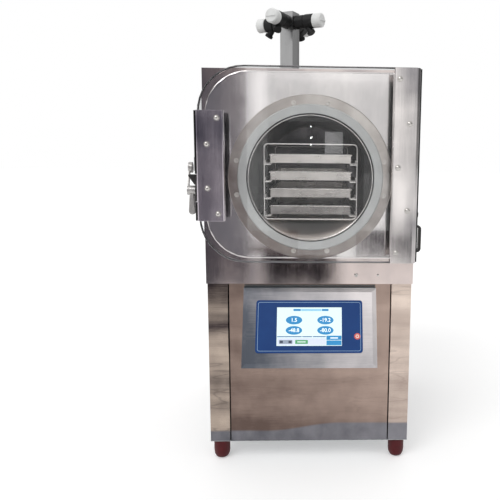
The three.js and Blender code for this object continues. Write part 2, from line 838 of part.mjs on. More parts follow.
function hingeRod() {
  const [low, high] = [hingeLevels[0] - hingeOverrun, hingeLevels[1] + hingeOverrun];
  const head = high - rodHeadHeight + gap;
  const shaft = bar('z', rodRadius, low, high, hingeX, hingeY);
  add('hinge_rod', joined(shaft, bar('z', rodHead, head, head + rodHeadHeight, hingeX, hingeY)), chrome);
}

// ---- Latch -------------------------------------------------------------------------------------

const pivotY = (channelFront + windowBack) / 2;
const pivotZ = latchChannelBottom + latchPivotRise;
const rollerY = pivotY + rollerBack;
const rollerZ = pivotZ + rollerUp;
const plateFace = latchChannelLeft - gap - latchPlate;
const leverInner = plateFace - leverStandoff;
const leverOuter = leverInner - leverThickness;
const strapOuter = leverOuter - strapThickness;
const rollerInner = strapOuter + rollerThickness;

// A black block on the door's edge that carries the lever on a stud.
function latchBase() {
  const [foot, head] = [pivotZ - latchBaseBelow, pivotZ + latchBaseAbove];
  const [front, back] = [pivotY - latchBaseDepth / 2, pivotY + latchBaseDepth / 2];
  const seat = plateFace + 1;
  const plate = box(plateFace, plateFace + latchPlate, front, back, foot, head);
  const edge = leverOuter + wedgeClearance;
  const wedgeOutline = [
    [seat, head], [edge, head], [edge, head - wedgeLand], [plateFace - 2, head - wedgeDrop],
    [seat, head - wedgeDrop],
  ];
  const wedge = alongY(wedgeOutline, front + 2, back - 14);
  const spacer = bar('x', latchSpacer, leverInner + gap, seat, pivotY, pivotZ);
  const stud = bar('x', latchStud, leverOuter, seat, pivotY, pivotZ);
  add('latch_base', joined(plate, wedge, spacer, stud), blackPlastic);
}

// A hub with a hanging grip, and a strap up to the roller that presses behind the keeper.
function latchLever() {
  const length = Math.hypot(rollerBack, rollerUp);
  const [ny, nz] = [(-rollerUp / length) * (strapWidth / 2), (rollerBack / length) * (strapWidth / 2)];
  const strapOutline = [
    [pivotY + ny, pivotZ + nz], [pivotY - ny, pivotZ - nz], [rollerY - ny, rollerZ - nz],
    [rollerY + ny, rollerZ + nz],
  ];
  const middle = (leverOuter + leverInner) / 2;
  const gripFoot = pivotZ - gripLength + gripRadius;
  const neckFoot = pivotZ - hubRadius + past;
  const gripOutline = [
    ...arc(middle, gripFoot, gripRadius, Math.PI, 2 * Math.PI, 8),
    [middle + gripNeck / 2, neckFoot], [middle - gripNeck / 2, neckFoot],
  ];
  const lever = joined(
    bar('x', hubRadius, leverOuter, leverInner, pivotY, pivotZ),
    bar('x', hubRadius, strapOuter, leverOuter + 1, pivotY, pivotZ),
    alongX(strapOutline, strapOuter, leverOuter),
    bar('x', rollerRadius, strapOuter, rollerInner, rollerY, rollerZ),
    alongY(gripOutline, pivotY - gripWidth / 2, pivotY + gripWidth / 2, 2),
  );
  const bore = bar('x', latchStud + gap, leverOuter - gap, leverInner + past, pivotY, pivotZ);
  add('latch_lever', lever.subtract(bore), chrome);
}

// A bracket on the cabinet's side, boxed out to the roller.
function latchKeeper() {
  const side = -halfUpper - gap;
  const outer = rollerInner + keeperClearance;
  const [foot, head] = [rollerZ - keeperBelow, rollerZ + keeperAbove];
  const nose = windowBack + keeperNose;
  const leaf = box(side - latchPlate, side, 2, leafBack - 6, foot, head);
  const arm = box(outer, side - latchPlate + 1, nose, keeperBack, foot, head);
  const hollow = box(outer + latchPlate, side + past, nose - past, 2, foot - past, head + past);
  add('latch_keeper', joined(leaf, arm.subtract(hollow)), chrome);
}

// ---- Console -----------------------------------------------------------------------------------

const consoleTop = deckHeight - consoleDrop;
const consoleBottom = consoleTop - consoleHeight;
const consoleHalf = panelHalf - consoleMargin;
const bezelWidth = 2 * (consoleHalf - bezelMargin);
const displayWidth = bezelWidth - 2 * displayMargin;
const consoleLean = consoleBottomDepth - consoleTopDepth;

// The sloping face's own frame: X across, Y up the slope, Z out of it, from the face's middle.
const consoleFace = new THREE.Matrix4()
  .makeRotationX(Math.PI / 2 - Math.atan2(consoleLean, consoleHeight))
  .setPosition(0, -(consoleTopDepth + consoleBottomDepth) / 2, (consoleTop + consoleBottom) / 2);

function onFace(geometry) {
  return solid(geometry.applyMatrix4(consoleFace));
}

function faceBlock(width, height, z0, z1, x = 0, y = 0) {
  return onFace(new THREE.BoxGeometry(width, height, z1 - z0).translate(x, y, (z0 + z1) / 2));
}

function rectangle(width, height) {
  const [x, y] = [width / 2, height / 2];
  return [[-x, -y], [x, -y], [x, y], [-x, y]];
}

// A folded housing, open at the back, whose face is raised with bevelled edges.
function consoleHousing(moduleSize) {
  const back = panelRecess - gap;
  const profile = [
    [back, consoleTop], [-consoleTopDepth, consoleTop], [-consoleBottomDepth, consoleBottom],
    [back, consoleBottom],
  ];
  const inside = offsetLeft(profile, consoleSheet).map(([y, z], i) => [i % 3 ? y : y + past, z]);
  const shell = alongX(profile, -consoleHalf, consoleHalf)
    .subtract(alongX(inside, consoleSheet - consoleHalf, consoleHalf - consoleSheet));
  const slope = Math.hypot(consoleLean, consoleHeight);
  const edge = consoleBevel + 2 * gap;
  const plate = rectangle(2 * (consoleHalf - edge), slope - 2 * edge);
  const raised = new THREE.ExtrudeGeometry(outlineShape(plate), {
    depth: 1, bevelSize: consoleBevel, bevelThickness: consoleBevelDepth, bevelSegments: 1,
  }).translate(0, 0, -1);
  const behind = faceBlock(bodyWidth, 2 * slope, -2 * consoleBottomDepth, -1);
  const [width, height] = moduleSize.map((size) => size + 2 * gap);
  const hole = faceBlock(width, height, -moduleDepth, consoleBevelDepth + past, -bezelLeft, bezelUp);
  add('console_housing', joined(shell, onFace(raised).subtract(behind)).subtract(hole), stainless);
}

// The printed bezel has a pocket for the display, and the controller sits behind both.
function consoleUnit() {
  const moduleSize = [bezelWidth, bezelHeight].map((size) => size - 2 * moduleMargin);
  consoleHousing(moduleSize);
  const [x, y] = [-bezelLeft, bezelUp];
  const back = consoleBevelDepth + gap;
  const front = back + bezelThickness;
  const outline = roundedRectangle(x - bezelWidth / 2, x + bezelWidth / 2, y - bezelHeight / 2,
    y + bezelHeight / 2, Array(4).fill(bezelCorner));
  const plate = onFace(prism(outline, bezelThickness).translate(0, 0, back));
  const [pocketWidth, pocketHeight] = [displayWidth, displayHeight].map((size) => size + 2 * gap);
  const pocket = faceBlock(pocketWidth, pocketHeight, front - displayThickness - gap, front + past, x, y);
  add('console_bezel', plate.subtract(pocket), blueFilm);
  const display = faceBlock(displayWidth, displayHeight, front - displayThickness, front, x, y);
  add('console_display', display, screenGlass);
  const module = faceBlock(...moduleSize, consoleBevelDepth - moduleDepth, consoleBevelDepth, x, y);
  add('console_module', module, paint);
}

// ---- Right side --------------------------------------------------------------------------------

const ventZ = hingeLevels[0] + ventRise;

function sideHandle() {
  const side = halfUpper + gap;
  const [foot, head] = [deckHeight + handleRise, deckHeight + handleRise + handleLength];
  const path = [[side, foot], [side + handleReach, foot], [side + handleReach, head], [side, head]];
  const section = folded(path, handleBar, [handleFold, handleFold]);
  const bow = alongY(section, handleY - handleWidth / 2, handleY + handleWidth / 2);
  add('side_handle', bow, blackPlastic);
}

// The valve's body is behind the cabinet's side and its knob is outside, on a stem through both.
function ventValve() {
  const half = ventBody / 2;
  const bodyY = ventY + ventOffset;
  const stemEnd = insideUpper - ventStem - past;
  const valve = joined(
    box(insideUpper - ventBodyDepth, insideUpper, bodyY - half, bodyY + half, ventZ - half, ventZ + half),
    bar('x', ventNeck, stemEnd, insideUpper, ventY, ventZ),
    box(stemEnd, insideUpper - 2, ventY, bodyY, ventZ - ventNeck + 1, ventZ + ventNeck - 1),
  );
  const bore = bar('x', ventStem + gap, stemEnd - 1, insideUpper + 1, ventY, ventZ);
  add('vent_valve', valve.subtract(bore), zinc);

  const start = halfUpper + 2 * gap;
  const end = start + ventKnobLength;
  const reach = ventKnobRadius - 1.5;
  const knob = joined(
    bar('x', ventKnobRadius, start, end, ventY, ventZ),
    box(end - 1, end + 2, ventY - 1.2, ventY + 1.2, ventZ - reach, ventZ + reach),
    bar('x', ventStem, stemEnd, start + 1, ventY, ventZ),
  );
  add('vent_knob', knob, blackPlastic);
}

// ---- Flask manifold ----------------------------------------------------------------------------

const columnTop = roof + columnHeight;
const valveZ = columnTop - valveDrop;
const valveRoot = columnSide / 2 + gap;
const valveRadius = columnSide / 2 - valveInset;

// A square bar on the column's axis.
function columnSolid(side, z0, z1) {
  const geometry = new THREE.BoxGeometry(side, side, z1 - z0).rotateZ(columnTurn);
  return solid(geometry.translate(columnX, columnY, (z0 + z1) / 2));
}

// A square tube, saddled on the drum, with a nipple for a valve on each face.
function manifoldColumn(faces) {
  const foot = chamberZ + chamberRadius / 2;
  const saddleHalf = columnSide + past;
  const saddle = bar('y', drumHole, columnY - saddleHalf, columnY + saddleHalf, 0, chamberZ, chamberFacets);
  const inside = columnSolid(columnSide - 2 * columnWall, foot - past, columnTop - columnWall);
  const nipples = faces.map((angle) => {
    const [from, to] = [columnSide / 4, columnSide / 2 + nippleLength];
    const nipple = new THREE.CylinderGeometry(nippleRadius, nippleRadius, to - from, 16);
    nipple.rotateZ(Math.PI / 2).translate((from + to) / 2, 0, 0).rotateZ(angle);
    return solid(nipple.translate(columnX, columnY, valveZ));
  });
  const column = columnSolid(columnSide, foot, columnTop).subtract(inside).subtract(saddle);
  add('manifold_column', joined(column, ...nipples), stainless);
}

function manifoldBase() {
  const bottom = roof + gap;
  const top = bottom + rootFlangeThickness;
  const plate = columnSolid(rootFlange, bottom, top)
    .subtract(columnSolid(columnSide + 2 * gap, bottom - past, top + past));
  add('manifold_base', plate, stainless);
}

function valveHead(faces) {
  const head = new THREE.Group();
  head.position.set(columnX, columnY, valveZ);
  machine.add(head);
  faces.forEach((angle, i) => {
    add(`valve_body_${i + 1}`, valveBody(), blackRubber, [0, 0, 0], angle, head);
    add(`valve_cap_${i + 1}`, valveCap(), whitePlastic, [0, 0, 0], angle, head);
  });
}

// A piece turned along local +X, out of the column's face.
function outward(points) {
  return turned(points, 24).rotate([0, 0, -90]);
}

// A plain bar along local +X.
function outwardBar(radius, from, to) {
  return outward([[0, from], [radius, from], [radius, to], [0, to]]);
}

// A grooved barrel with a closed branch below it and a stem for the cap.
function valveBody() {
  const end = valveRoot + valveLength;
  const neck = valveRoot + valveGroove;
  const r = valveRadius;
  const barrel = outward([
    [0, valveRoot], [r - 3, valveRoot], [r - 1, valveRoot + 3], [r - 1, neck], [r - 3, neck + 2],
    [r - 3, neck + 4], [r, neck + 6], [r, end - 2], [r - 2, end], [0, end],
  ]);
  const stem = outwardBar(valveStem, end - 1, end + capLength / 2);
  const branch = turned([
    [0, 0], [branchRadius, 0], [branchRadius, branchLength - 10], [branchLip, branchLength - 8],
    [branchLip, branchLength - 1], [branchLip - 1, branchLength], [0, branchLength],
  ], 16);
  const tilt = THREE.MathUtils.radToDeg(branchTilt);
  const placed = branch.rotate([0, 0, -90]).rotate([0, tilt, 0])
    .translate([valveRoot + valveLength / 2, 0, 0]);
  const socket = outwardBar(nippleRadius + gap, valveRoot - 1, valveRoot + nippleLength);
  return joined(barrel, stem, placed).subtract(socket);
}

// A knob with a raised rib across its face.
function valveCap() {
  const start = valveRoot + valveLength;
  const end = start + gap + capLength;
  const r = capRadius;
  const shell = outward([
    [0, start + gap], [r - 1, start + gap], [r, start + gap + 1.5], [r, end - 3], [r - 3, end], [0, end],
  ]);
  const bore = outwardBar(valveStem + gap, start, start + capLength / 2 + gap);
  const ribHalf = r - capRibInset;
  const rib = box(end - 1, end + 3, -ribHalf, ribHalf, -capRibWidth / 2, capRibWidth / 2);
  return joined(shell, rib).subtract(bore);
}

// ---- Rear ports --------------------------------------------------------------------------------

function vacuumPort() {
  const start = chamberBack + drumWall + gap;
  const end = bodyDepth + portReach;
  const profile = [
    [portBore, start], [portFlange, start], [portFlange, start + portFlangeThickness],
    [portRadius, start + portFlangeThickness], [portRadius, end - portFlangeThickness - 1],
    [portFlange, end - portFlangeThickness], [portFlange, end], [portBore, end],
  ];
  const pipe = turned([...profile, profile[0]]).translate([0, 0, portZ]);
  add('vacuum_port', pipe, polished);
}

const inletX = halfLower - inletInset;

function inletBox(margin, y0, y1) {
  const [w, h] = [inletWidth / 2 + margin, inletHeight / 2 + margin];
  return box(inletX - w, inletX + w, y0, y1, inletZ - h, inletZ + h);
}

// A three-pin inlet whose lip seats on the rear panel.
function powerInlet() {
  const face = bodyDepth - panelRecess + gap;
  const lip = inletBox(inletLip, face, face + inletLipThickness);
  const [w, h] = [socketWidth / 2, socketHeight / 2];
  const floor = face - socketDepth;
  const socket = box(inletX - w, inletX + w, floor, face + past, inletZ - h, inletZ + h);
  const pins = [[-pinPitch, -2], [0, 3], [pinPitch, -2]].map(([x, z]) =>
    bar('y', pinRadius, floor - 1, floor + pinLength, inletX + x, inletZ + z, 10));
  const body = joined(inletBox(0, face - inletDepth, face), lip).subtract(socket);
  add('power_inlet', joined(body, ...pins), blackPlastic);
}

// ---- Machinery ---------------------------------------------------------------------------------

const panFloor = footHeight + sheet + gap;
const condenserFoot = footHeight + panUpstand + gap;
const condenserBack = bodyDepth - panInset - sheet - condenserClearance;
const condenserFront = condenserBack - condenserDepth;
const fanZ = condenserFoot + condenserHeight / 2;
const ductBack = condenserFront - gap;
const ductFront = ductBack - ductDepth;

// A finned coil block with a round opening at the fan.
function condenser() {
  const half = condenserWidth / 2;
  const top = panFloor + condenserHeight;
  let coil = box(-half, half, condenserFront, condenserBack, panFloor, top);
  const finFoot = panFloor + finFrame;
  for (let x = finPitch / 2 - half; x < half - finPitch / 2; x += finPitch) {
    coil = coil.subtract(box(x, x + finPitch - finThickness, condenserFront + finRoot, condenserBack + 1,
      finFoot, top - finFrame));
  }
  const opening = bar('y', fanRadius - 20, condenserFront - 1, condenserFront + finRoot + 1, 0, fanZ, 32);
  add('condenser', coil.subtract(opening), zinc);
}

// A square plate and round duct, with the fan's motor on a cross of arms.
function fanShroud() {
  const half = fanRadius + fanPlateMargin;
  const inner = fanRadius + ductClearance;
  const plate = box(-half, half, ductBack - fanPlateThickness, ductBack, fanZ - half, fanZ + half);
  const duct = bar('y', inner + ductWall, ductFront, ductBack, 0, fanZ, 32);
  const tunnel = bar('y', inner, ductFront - 1, ductBack + 1, 0, fanZ, 32);
  const arms = [1, 3].map((eighth) => {
    const beam = new THREE.BoxGeometry(2 * inner + ductWall, armThickness, armWidth);
    beam.rotateY((eighth * Math.PI) / 4);
    return solid(beam.translate(0, ductFront + armThickness / 2, fanZ));
  });
  const motor = bar('y', fanHub, ductFront - motorLength, ductFront + armThickness, 0, fanZ);
  const shaft = bar('y', fanShaft, ductFront, ductBack - 6, 0, fanZ);
  add('fan_shroud', joined(joined(plate, duct).subtract(tunnel), ...arms, motor, shaft), paint);
}

// The hub is as deep as the pitched blades are.
function fanRotor() {
  const [root, tip] = [fanHub - 8, fanRadius];
  const depth = bladeChord * Math.sin(fanPitch) + bladeThickness * Math.cos(fanPitch);
  const blades = Array.from({ length: fanBlades }, (_, i) => {
    const blade = new THREE.BoxGeometry(tip - root, bladeThickness, bladeChord);
    blade.translate((root + tip) / 2, 0, 0).rotateX(fanPitch).rotateY((2 * Math.PI * i) / fanBlades);
    return solid(blade.translate(0, depth / 2, 0));
  });
  const hub = bar('y', fanHub, 0, depth, 0, 0);
  const bore = bar('y', fanShaft + gap, -1, depth + 1, 0, 0);
  const place = [0, ductFront + armThickness + fanClearance, fanZ];
  add('fan_rotor', joined(hub, ...blades).subtract(bore), blackPlastic, place);
}

// A sealed refrigeration compressor: a welded can on a stepped foot.
function compressor() {
  const r = compressorRadius;
  const h = compressorHeight;
  const belt = r + compressorBelt;
  const can = lathe([
    [0, 0], [r - 9, 0], [r - 9, 6], [r - 23, 10], [r - 9, 24], [r, 45], [r, h / 2], [belt, h / 2],
    [belt, h / 2 + 5], [r, h / 2 + 5], [r - 2, h - 50], [r - 18, h - 18], [r / 2, h - 3], [0, h],
  ], 24).rotateX(Math.PI / 2);
  const x = sheet + compressorMargin + r - panWall;
  add('compressor', solid(can), paint, [x, compressorY, panFloor]);
}

function electricalBox() {
  const right = panWall - sheet - cabinetMargin;
  const back = cabinetFront + cabinetDepth;
  const shape = tray(right - cabinetWidth, right, cabinetFront, back, 0, cabinetHeight, 'front', sheet);
  add('electrical_box', shape, zinc, [0, 0, panFloor]);
}

// ---- The machine -------------------------------------------------------------------------------

feet();
cornerPosts();
basePan();
frontPanel();
sidePanels();
rearPanel();

upperShell();
deck();
upperFrontPanel();
upperRearPanel();
fascia();

drum();
jacket();
flangeRing();
gasket();
rack();
trays();

doorWindow();
hingeChannel();
latchChannel();
hingeBrackets();
hingeRod();
latchBase();
latchLever();
latchKeeper();

consoleUnit();
sideHandle();
ventValve();

const valveFaces = [0, 1, 2, 3].map((quarter) => columnTurn + (quarter * Math.PI) / 2);
manifoldColumn(valveFaces);
manifoldBase();
valveHead(valveFaces);
vacuumPort();
powerInlet();

condenser();
fanShroud();
fanRotor();
compressor();
electricalBox();

// The origin: the middle of the footprint's box, on the floor.
machine.updateMatrixWorld(true);
const bounds = new THREE.Box3().setFromObject(machine, true);
const middle = bounds.getCenter(new THREE.Vector3());
machine.position.set(-middle.x, -middle.y, -bounds.min.z);

const group = new THREE.Group();
group.add(machine);
export default group;
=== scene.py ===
import math

import bmesh
import bpy
from mathutils import Matrix, Vector


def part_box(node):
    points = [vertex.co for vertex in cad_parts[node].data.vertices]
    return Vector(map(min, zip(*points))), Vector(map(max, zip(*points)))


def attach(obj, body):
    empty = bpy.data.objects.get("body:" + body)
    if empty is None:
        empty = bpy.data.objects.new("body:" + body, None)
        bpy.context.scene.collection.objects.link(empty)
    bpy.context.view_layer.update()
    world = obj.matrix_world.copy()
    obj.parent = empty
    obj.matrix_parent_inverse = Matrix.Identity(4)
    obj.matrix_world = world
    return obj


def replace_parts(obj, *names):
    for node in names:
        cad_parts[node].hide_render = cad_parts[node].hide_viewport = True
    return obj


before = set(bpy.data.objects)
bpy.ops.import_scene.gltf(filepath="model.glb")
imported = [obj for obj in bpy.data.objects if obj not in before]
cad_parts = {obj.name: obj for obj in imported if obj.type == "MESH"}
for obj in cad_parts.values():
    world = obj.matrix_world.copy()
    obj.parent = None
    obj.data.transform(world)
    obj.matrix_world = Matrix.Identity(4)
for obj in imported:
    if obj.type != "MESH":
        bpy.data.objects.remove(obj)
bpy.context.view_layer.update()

scene = bpy.context.scene
scene.view_settings.view_transform = "Standard"
mm = 0.001

# ---- The viewpoint ----
# A lens of middling length at chest height, almost square to the front and a little right of its
# middle, tipped down so that the console and the chamber both show their upper faces.
turned_right = math.radians(2.216)
tipped_down = math.radians(8.137)
leaning = math.radians(0.621)
ahead = Vector((
    math.sin(turned_right) * math.cos(tipped_down),
    math.cos(turned_right) * math.cos(tipped_down),
    -math.sin(tipped_down),
))
level = Vector((math.cos(turned_right), -math.sin(turned_right), 0))
over = level.cross(ahead)
across = math.cos(leaning) * level + math.sin(leaning) * over
upward = math.cos(leaning) * over - math.sin(leaning) * level
lens = bpy.data.cameras.new("viewpoint")
lens.lens = 40.26
lens.sensor_width = 36
lens.shift_x = -0.1701
lens.shift_y = -0.0279
lens.clip_start = 0.05
lens.dof.use_dof = False
viewpoint = bpy.data.objects.new("viewpoint", lens)
standpoint = (0.00857, -1.90555, 0.9251)
facing_it = Matrix((across, upward, -ahead)).transposed().to_4x4()
viewpoint.matrix_world = Matrix.Translation(standpoint) @ facing_it
scene.collection.objects.link(viewpoint)
scene.camera = viewpoint

# ---- The studio ----
# A white room with a pale seamless floor. Its walls show soft grey gaps between the lamps, which is
# what polished steel mirrors, and the direct light is one broad lamp up on the left.


def chip(red, green, blue):
    """A colour as a paint chip names it, 0 to 255, in the linear numbers that shaders take."""
    tones = (value / 255 for value in (red, green, blue))
    return (*(tone / 12.92 if tone < 0.04045 else ((tone + 0.055) / 1.055) ** 2.4 for tone in tones), 1)


def fill(tree, socket, value):
    """Links a number that a node works out to a socket, or sets the socket to a plain value."""
    if isinstance(value, Number):
        tree.links.new(value.output, socket)
    else:
        socket.default_value = value


class Number:
    """What a node gives out. Sums written with it become Math nodes."""

    def __init__(self, tree, output):
        self.tree = tree
        self.output = output

    def reckon(self, operation, *terms):
        node = self.tree.nodes.new("ShaderNodeMath")
        node.operation = operation
        for socket, term in zip(node.inputs, terms):
            fill(self.tree, socket, term)
        return Number(self.tree, node.outputs[0])

    def __add__(self, other):
        return self.reckon("ADD", self, other)

    def __radd__(self, other):
        return self.reckon("ADD", other, self)

    def __sub__(self, other):
        return self.reckon("SUBTRACT", self, other)

    def __rsub__(self, other):
        return self.reckon("SUBTRACT", other, self)

    def __mul__(self, other):
        return self.reckon("MULTIPLY", self, other)

    def __rmul__(self, other):
        return self.reckon("MULTIPLY", other, self)

    def __truediv__(self, other):
        return self.reckon("DIVIDE", self, other)

    def either(self, other):
        return self.reckon("MAXIMUM", self, other)

    def over(self, limit):
        return self.reckon("GREATER_THAN", self, limit)

    def size(self):
        return self.reckon("ABSOLUTE", self)

    def root(self):
        return self.reckon("SQRT", self)

    def wave(self):
        return self.reckon("SINE", self)


class Finish:
    """One node tree. Every node but a Math node comes from node()."""

    def __init__(self, tree):
        self.tree = tree
        self.tree.nodes.clear()

    def node(self, kind, settings, sockets):
        made = self.tree.nodes.new("ShaderNode" + kind)
        for name, value in settings.items():
            if name == "stops":
                self.set_stops(made.color_ramp, value)
            else:
                setattr(made, name, value)
        for name, value in sockets.items():
            if isinstance(name, int):
                socket = made.inputs[name]
            else:
                socket = next(s for s in made.inputs if s.name == name and s.enabled)
            fill(self.tree, socket, value)
        return {o.name: Number(self.tree, o) for o in made.outputs if o.enabled}

    def set_stops(self, ramp, stops):
        while len(ramp.elements) < len(stops):
            ramp.elements.new(1)
        for element, (place, colour) in zip(ramp.elements, stops):
            element.position = place
            element.color = colour

    def where(self):
        """The place on the surface, in the frame's metres."""
        return self.node("TexCoord", {}, {})["Object"]

    def clouds(self, place, lumps, detail):
        """Noise from 0 to 1, with so many lumps to the metre along X, Y and Z."""
        spread = self.node("Mapping", {}, {"Vector": place, "Scale": lumps})["Vector"]
        return self.node("TexNoise", {}, {"Vector": spread, "Scale": 1.0, "Detail": detail})["Fac"]

    def blend(self, share, first, second):
        """A colour that goes from the first to the second as share goes from 0 to 1."""
        sockets = {"Factor": share, "A": first, "B": second}
        return self.node("Mix", {"data_type": "RGBA"}, sockets)["Result"]

    def ramp(self, value, start, end, low=0.0, high=1.0):
        """Goes softly from low to high while the value goes from start to end."""
        return self.node("MapRange", {"interpolation_type": "SMOOTHSTEP"}, {
            "Value": value, "From Min": start, "From Max": end, "To Min": low, "To Max": high,
        })["Result"]

    def bump(self, height, depth, under=None):
        """A relief so many metres deep, on top of another where under is given."""
        sockets = {"Height": height, "Distance": depth, "Strength": 1.0}
        if under:
            sockets["Normal"] = under
        return self.node("Bump", {}, sockets)["Normal"]

    def surface(self, sockets):
        """The finish itself: what changes over the surface, and its plain numbers."""
        shader = self.node("BsdfPrincipled", {}, sockets)["BSDF"]
        self.node("OutputMaterial", {}, {"Surface": shader})


def grey(value):
    return (value, value, value, 1)


def turn(degrees):
    """Where a bearing lies on the walls' ramp: 0 is straight out from the machine's front."""
    return 0.5 + degrees / 360


walls = bpy.data.worlds.new("studio")
scene.world = walls
walls.use_nodes = True
room = Finish(walls.node_tree)
bearing = room.node("TexCoord", {}, {})["Generated"]
part = room.node("SeparateXYZ", {}, {"Vector": bearing})
round_room = part["X"].reckon("ARCTAN2", part["X"], 0 - part["Y"]) / math.tau + 0.5
lamps_and_gaps = [
    (turn(-180), grey(0.74)), (turn(-140), grey(0.96)), (turn(-104), grey(0.34)),
    (turn(-66), grey(0.88)), (turn(-24), grey(0.86)), (turn(4), grey(0.94)),
    (turn(40), grey(1.0)), (turn(62), grey(0.3)), (turn(100), grey(0.26)),
    (turn(132), grey(0.46)), (turn(152), grey(0.94)), (turn(180), grey(0.74)),
]
gaps = room.node("ValToRGB", {"stops": lamps_and_gaps}, {"Fac": round_room})["Color"]
lift = room.ramp(part["Z"], 0.0, 0.35, 0.82, 1.05)
ray = room.node("LightPath", {}, {})
mirrored = ray["Is Glossy Ray"].either(ray["Glossy Depth"].over(0.5))
shown = ray["Is Camera Ray"].either(ray["Is Transmission Ray"]) * (1 - mirrored)
soft_light = 0.8
strength = shown + (1 - shown) * (mirrored * gaps * lift + (1 - mirrored) * soft_light)
glow = room.node("Background", {}, {"Color": grey(1), "Strength": strength})["Background"]
room.node("OutputWorld", {}, {"Surface": glow})


def square(name, corners):
    """A flat four-cornered sheet of the studio."""
    data = bpy.data.meshes.new(name)
    data.from_pydata(corners, [], [(0, 1, 2, 3)])
    made = bpy.data.objects.new(name, data)
    scene.collection.objects.link(made)
    return made


def material(name):
    """A new material and its empty node tree."""
    made = bpy.data.materials.new(name)
    made.use_nodes = True
    return made, Finish(made.node_tree)


paper, tree = material("studio_floor")
ray = tree.node("LightPath", {}, {})
shown = ray["Is Camera Ray"].either(ray["Is Transmission Ray"]).either(ray["Is Glossy Ray"])
matt = tree.node("BsdfDiffuse", {}, {"Color": grey(0.82)})["BSDF"]
lit = tree.node("Emission", {}, {"Color": grey(1), "Strength": shown * 0.3})["Emission"]
both = tree.node("AddShader", {}, {0: matt, 1: lit})["Shader"]
tree.node("OutputMaterial", {}, {"Surface": both})
far = 30
floor = square("studio_floor", [(-far, -far, 0), (far, -far, 0), (far, far, 0), (-far, far, 0)])
floor.data.materials.append(paper)


# Cloths and lamp papers hung well out in front, seen only in the steel and the window: dark ones at the
# left and low down, a bright strip beside the first, a bright band above and a dim wall opposite the
# chamber. One sheet of paper and three small bulbs hang just before that wall.
cloths_at = -2.6
papers_at = -2.59


def hung(name, left, right, low, top, dark, light, away=cloths_at):
    """A sheet of cloth or lamp paper whose tone wanders between two brightnesses."""
    cloth, tree = material(name)
    place = tree.where()
    folds = (tree.clouds(place, (2.4, 1, 1.7), 2) - 0.5) * 2.4 + 0.5
    tone = tree.blend(folds, dark, light)
    lit = tree.node("Emission", {}, {"Color": tone, "Strength": 1.0})["Emission"]
    nothing = tree.node("BsdfTransparent", {}, {})["BSDF"]
    seen = tree.node("LightPath", {}, {})["Glossy Depth"].over(0.5)
    tree.node("OutputMaterial", {}, {
        "Surface": tree.node("MixShader", {}, {0: seen, 1: nothing, 2: lit})["Shader"],
    })
    made = square(name, [(left, away, low), (right, away, low), (right, away, top), (left, away, top)])
    made.data.materials.append(cloth)
    made.visible_camera = False
    made.visible_diffuse = False
    made.visible_shadow = False


hung("studio_flannel", -2.6, -0.44, 0, 2.2, (0.15, 0.15, 0.18, 1), (0.36, 0.33, 0.34, 1))
hung("studio_strip", -0.44, -0.3, 0.3, 2.2, grey(1.2), grey(1.5))
hung("studio_low_cloth", -0.35, 0.17, 0, 0.25, (0.004, 0.003, 0.006, 1), (0.03, 0.02, 0.03, 1))
hung("studio_rug", -0.44, -0.1, 0.25, 0.42, (0.1, 0.07, 0.07, 1), (0.34, 0.27, 0.27, 1))
hung("studio_side_cloth", 0.3, 1.0, 0.235, 0.42, (0.02, 0.02, 0.024, 1), (0.14, 0.13, 0.14, 1))
hung("studio_high_band", -0.26, 1.1, 1.42, 2.2, grey(0.98), grey(1.25))
hung("studio_dim_wall", -0.37, 0.345, 0.47, 1.15, grey(0.34), grey(0.7))
hung("studio_paper", 0.08, 0.2, 0.94, 1.084, grey(1.2), grey(2.6), papers_at)
bulb = 12 * mm
for number, level_at in enumerate((0.991, 1.037, 1.113)):
    name = f"studio_bulb_{number + 1}"
    hung(name, -0.018, -0.018 + bulb, level_at, level_at + bulb, grey(24), grey(32), papers_at)

sun = bpy.data.lights.new("broad_lamp", "SUN")
sun.energy = 0.9
sun.angle = math.radians(34)
lamp = bpy.data.objects.new("broad_lamp", sun)
lamp.matrix_world = Vector((-0.55, -0.75, 0.9)).to_track_quat("Z", "Y").to_matrix().to_4x4()
scene.collection.objects.link(lamp)

# ---- Feet ----
# Four dark red moulded rubber feet, each bonded to a threaded stud that screws up into the base pan.
# The rubber is nearly black at its edges and has a dull, slightly dusty skin.


def smooth(angle, *nodes, fold=0.0):
    """Shades bends as round and flats as flat: only edges sharper than the angle stay crisp. fold is
    the radius that a press brake or a polisher leaves on the square edges."""
    for node in nodes:
        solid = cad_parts[node]
        custom = solid.data.attributes.get("custom_normal")
        if custom:
            solid.data.attributes.remove(custom)
        solid.data.polygons.foreach_set("use_smooth", [True] * len(solid.data.polygons))
        weld = solid.modifiers.new("weld", "WELD")
        weld.merge_threshold = 0.01 * mm
        if fold:
            flats = solid.modifiers.new("whole_flats", "DECIMATE")
            flats.decimate_type = "DISSOLVE"
            flats.angle_limit = math.radians(0.5)
            rounding = solid.modifiers.new("rounding", "BEVEL")
            rounding.width = fold
            rounding.segments = 3
            rounding.limit_method = "ANGLE"
            rounding.angle_limit = math.radians(50)
        split = solid.modifiers.new("crisp_edges", "EDGE_SPLIT")
        split.split_angle = math.radians(angle)
        solid.modifiers.new("level_flats", "WEIGHTED_NORMAL").weight = 100


def dress(finish, *nodes, crisp=None):
    """Gives these solids of the frame one finish, and shades them smooth where crisp is given."""
    for node in nodes:
        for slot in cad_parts[node].material_slots:
            slot.material = finish
    if crisp:
        smooth(crisp, *nodes)


